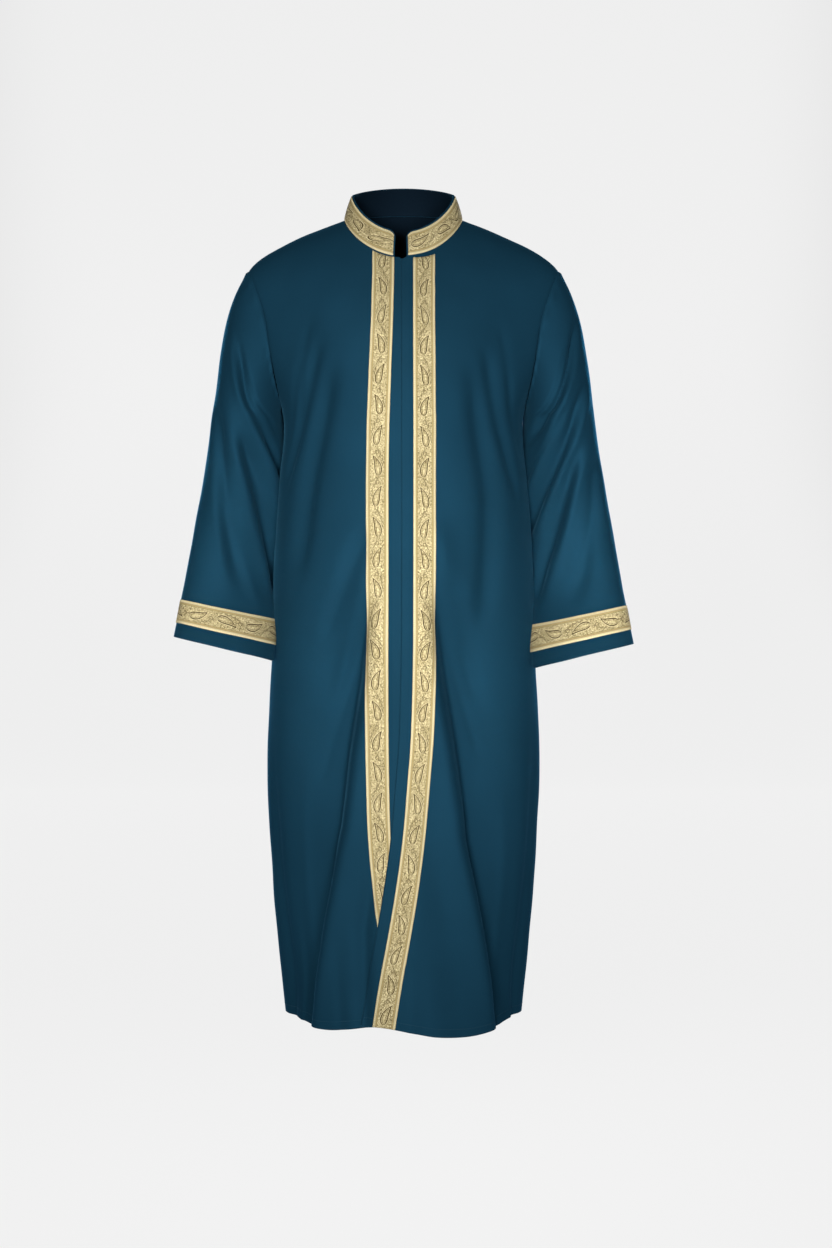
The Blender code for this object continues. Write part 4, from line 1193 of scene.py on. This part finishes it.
for side, name in ((-1, "right"), (1, "left")):
    surface = sleeve_surface(side)
    high = SLEEVE_LENGTH - CUFF_BAND_INSET - CUFF_BAND_WIDTH
    rows = np.linspace(high, high + CUFF_BAND_WIDTH, RIBBON_COLUMNS)
    turn, down = np.meshgrid(sleeve_turns + CUFF_JOIN_TURN, rows)
    points = surface(turn, down)
    walls = sleeve_outward(side, surface, turn, down)
    round_points = np.concatenate([points, points[:, :1]], axis=1)
    weave = np.stack([length_along(round_points, 1), across_ribbon(round_points, 0)], -1)
    points = loosened(points, walls, np.zeros(down.shape))
    lay_ribbon(
        "cuff_ribbon_" + name, "cuff_band_" + name,
        points, walls, weave, True,
    )
    sew_edges(points, walls, True)

# ---------------------------------------------------------------------------------------------
# Sewing: gold thread down both edges of every ribbon, and teal thread round the hem, which is
# turned up once and stitched close to its fold.
# ---------------------------------------------------------------------------------------------
STITCH_SPACING = 0.0032
STITCH_LENGTH = 0.0023
STITCH_THICKNESS = 0.00045
STITCH_UNEVEN = (0.88, 1.12)
STITCH_SEED = 5
HEM_STITCH_RISE = 0.0118
HEM_STITCH_INSET = 0.002
HEM_STITCH_LIFT = 0.0001
HEM_POINTS = {0: 160, -1: 120, 1: 120}


def stitch_tree():
    """Make the node tree that lays stitches along lines on the cloth, and name its inputs."""
    tree = bpy.data.node_groups.new("stitches", "GeometryNodeTree")
    tree.interface.new_socket("Lines", in_out="INPUT", socket_type="NodeSocketGeometry")
    names = {}
    for label, kind in (
        ("Spacing", "Float"), ("Length", "Float"), ("Thickness", "Float"), ("Seed", "Int"),
        ("Thread", "Material"),
    ):
        socket = tree.interface.new_socket(label, in_out="INPUT", socket_type="NodeSocket" + kind)
        names[label] = socket.identifier
    tree.interface.new_socket("Stitches", in_out="OUTPUT", socket_type="NodeSocketGeometry")
    given = add_node(tree, "NodeGroupInput", {}).outputs
    lines = add_node(tree, "GeometryNodeMeshToCurve", {"Mesh": given["Lines"]}).outputs["Curve"]
    inputs = {"Curve": lines, "Length": given["Spacing"]}
    dots = add_node(tree, "GeometryNodeResampleCurve", inputs, mode="LENGTH").outputs[0]
    outward = add_node(
        tree, "GeometryNodeInputNamedAttribute", {"Name": "outward"}, data_type="FLOAT_VECTOR"
    ).outputs["Attribute"]
    tangent = add_node(tree, "GeometryNodeInputTangent", {}).outputs[0]
    lie = add_node(
        tree, "FunctionNodeAxesToRotation", {0: outward, 1: tangent},
        primary_axis="Z", secondary_axis="X",
    ).outputs[0]
    inputs = {2: STITCH_UNEVEN[0], 3: STITCH_UNEVEN[1], "Seed": given["Seed"]}
    stretch = add_node(tree, "FunctionNodeRandomValue", inputs, data_type="FLOAT").outputs[1]
    length = Value(tree, given["Length"]) * Value(tree, stretch)
    size = add_node(tree, "ShaderNodeCombineXYZ", {
        "X": length.socket, "Y": given["Thickness"], "Z": given["Thickness"],
    }).outputs[0]
    inputs = {"Radius": 0.5, "Subdivisions": 1}
    bead = add_node(tree, "GeometryNodeMeshIcoSphere", inputs).outputs[0]
    inputs = {"Points": dots, "Instance": bead, "Rotation": lie, "Scale": size}
    placed = add_node(tree, "GeometryNodeInstanceOnPoints", inputs).outputs[0]
    real = add_node(tree, "GeometryNodeRealizeInstances", {"Geometry": placed}).outputs[0]
    inputs = {"Geometry": real, "Material": given["Thread"]}
    done = add_node(tree, "GeometryNodeSetMaterial", inputs).outputs[0]
    add_node(tree, "NodeGroupOutput", {"Stitches": done})
    return tree, names


def thread_material(name, light, dark):
    """Make the material of a sewing thread."""
    material, tree, shader = material_with(name, 0.5, Specular_IOR_Level=0.3)
    place = add_node(tree, "ShaderNodeTexCoord", {}).outputs["Object"]
    twist = texture(tree, "Noise", Vector=place, Scale=1500.0, Detail=1.0)
    tree.links.new(blend_colours(tree, twist, dark, light), shader.inputs["Base Color"])
    return material


def sew(name, lines, thread):
    """Lay stitches along lines, each given by its points, its outward ways and if it closes."""
    points = np.concatenate([line for line, _, _ in lines])
    edges = []
    start = 0
    for line, _, closed in lines:
        edges += [(start + step, start + step + 1) for step in range(len(line) - 1)]
        if closed:
            edges.append((start + len(line) - 1, start))
        start += len(line)
    mesh = bpy.data.meshes.new(name)
    mesh.from_pydata(points.tolist(), edges, [])
    outward = mesh.attributes.new("outward", "FLOAT_VECTOR", "POINT")
    outward.data.foreach_set("vector", np.concatenate([ways for _, ways, _ in lines]).ravel())
    piece = bpy.data.objects.new(name, mesh)
    bpy.context.collection.objects.link(piece)
    layer = piece.modifiers.new("stitches", "NODES")
    layer.node_group = stitches
    for label, value in (
        ("Spacing", STITCH_SPACING), ("Length", STITCH_LENGTH), ("Thickness", STITCH_THICKNESS),
        ("Seed", STITCH_SEED), ("Thread", thread),
    ):
        layer[stitch_inputs[label]] = value
    seen = piece.evaluated_get(bpy.context.evaluated_depsgraph_get())
    sewn = bpy.data.meshes.new_from_object(seen)
    piece.modifiers.remove(layer)
    piece.data = sewn
    sewn.shade_smooth()
    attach(piece, "root")


stitches, stitch_inputs = stitch_tree()
gold_thread = thread_material("gold_thread", linear(236, 222, 178), linear(190, 168, 112))
teal_thread = thread_material("teal_thread", linear(16, 52, 70), linear(8, 30, 42))
sew("ribbon_stitches", ribbon_seams, gold_thread)

hem_lines = []
for surface, side in ((back_surface, 0), (front_surface(-1), -1), (front_surface(1), 1)):
    first, last = SIDE, 360.0 - SIDE
    if side:
        first, last = front_angle(side, HEM_STITCH_INSET, HEM_STITCH_RISE), side * SIDE
    angles = np.linspace(first, last, HEM_POINTS[side])
    alongs = np.full(angles.shape, HEM_STITCH_RISE)
    walls = body_outward(surface, angles, alongs)
    points = loosened(surface(angles, alongs), walls, np.full(angles.shape, HEM_STITCH_LIFT))
    hem_lines.append((points, walls, False))
sew("hem_stitches", hem_lines, teal_thread)
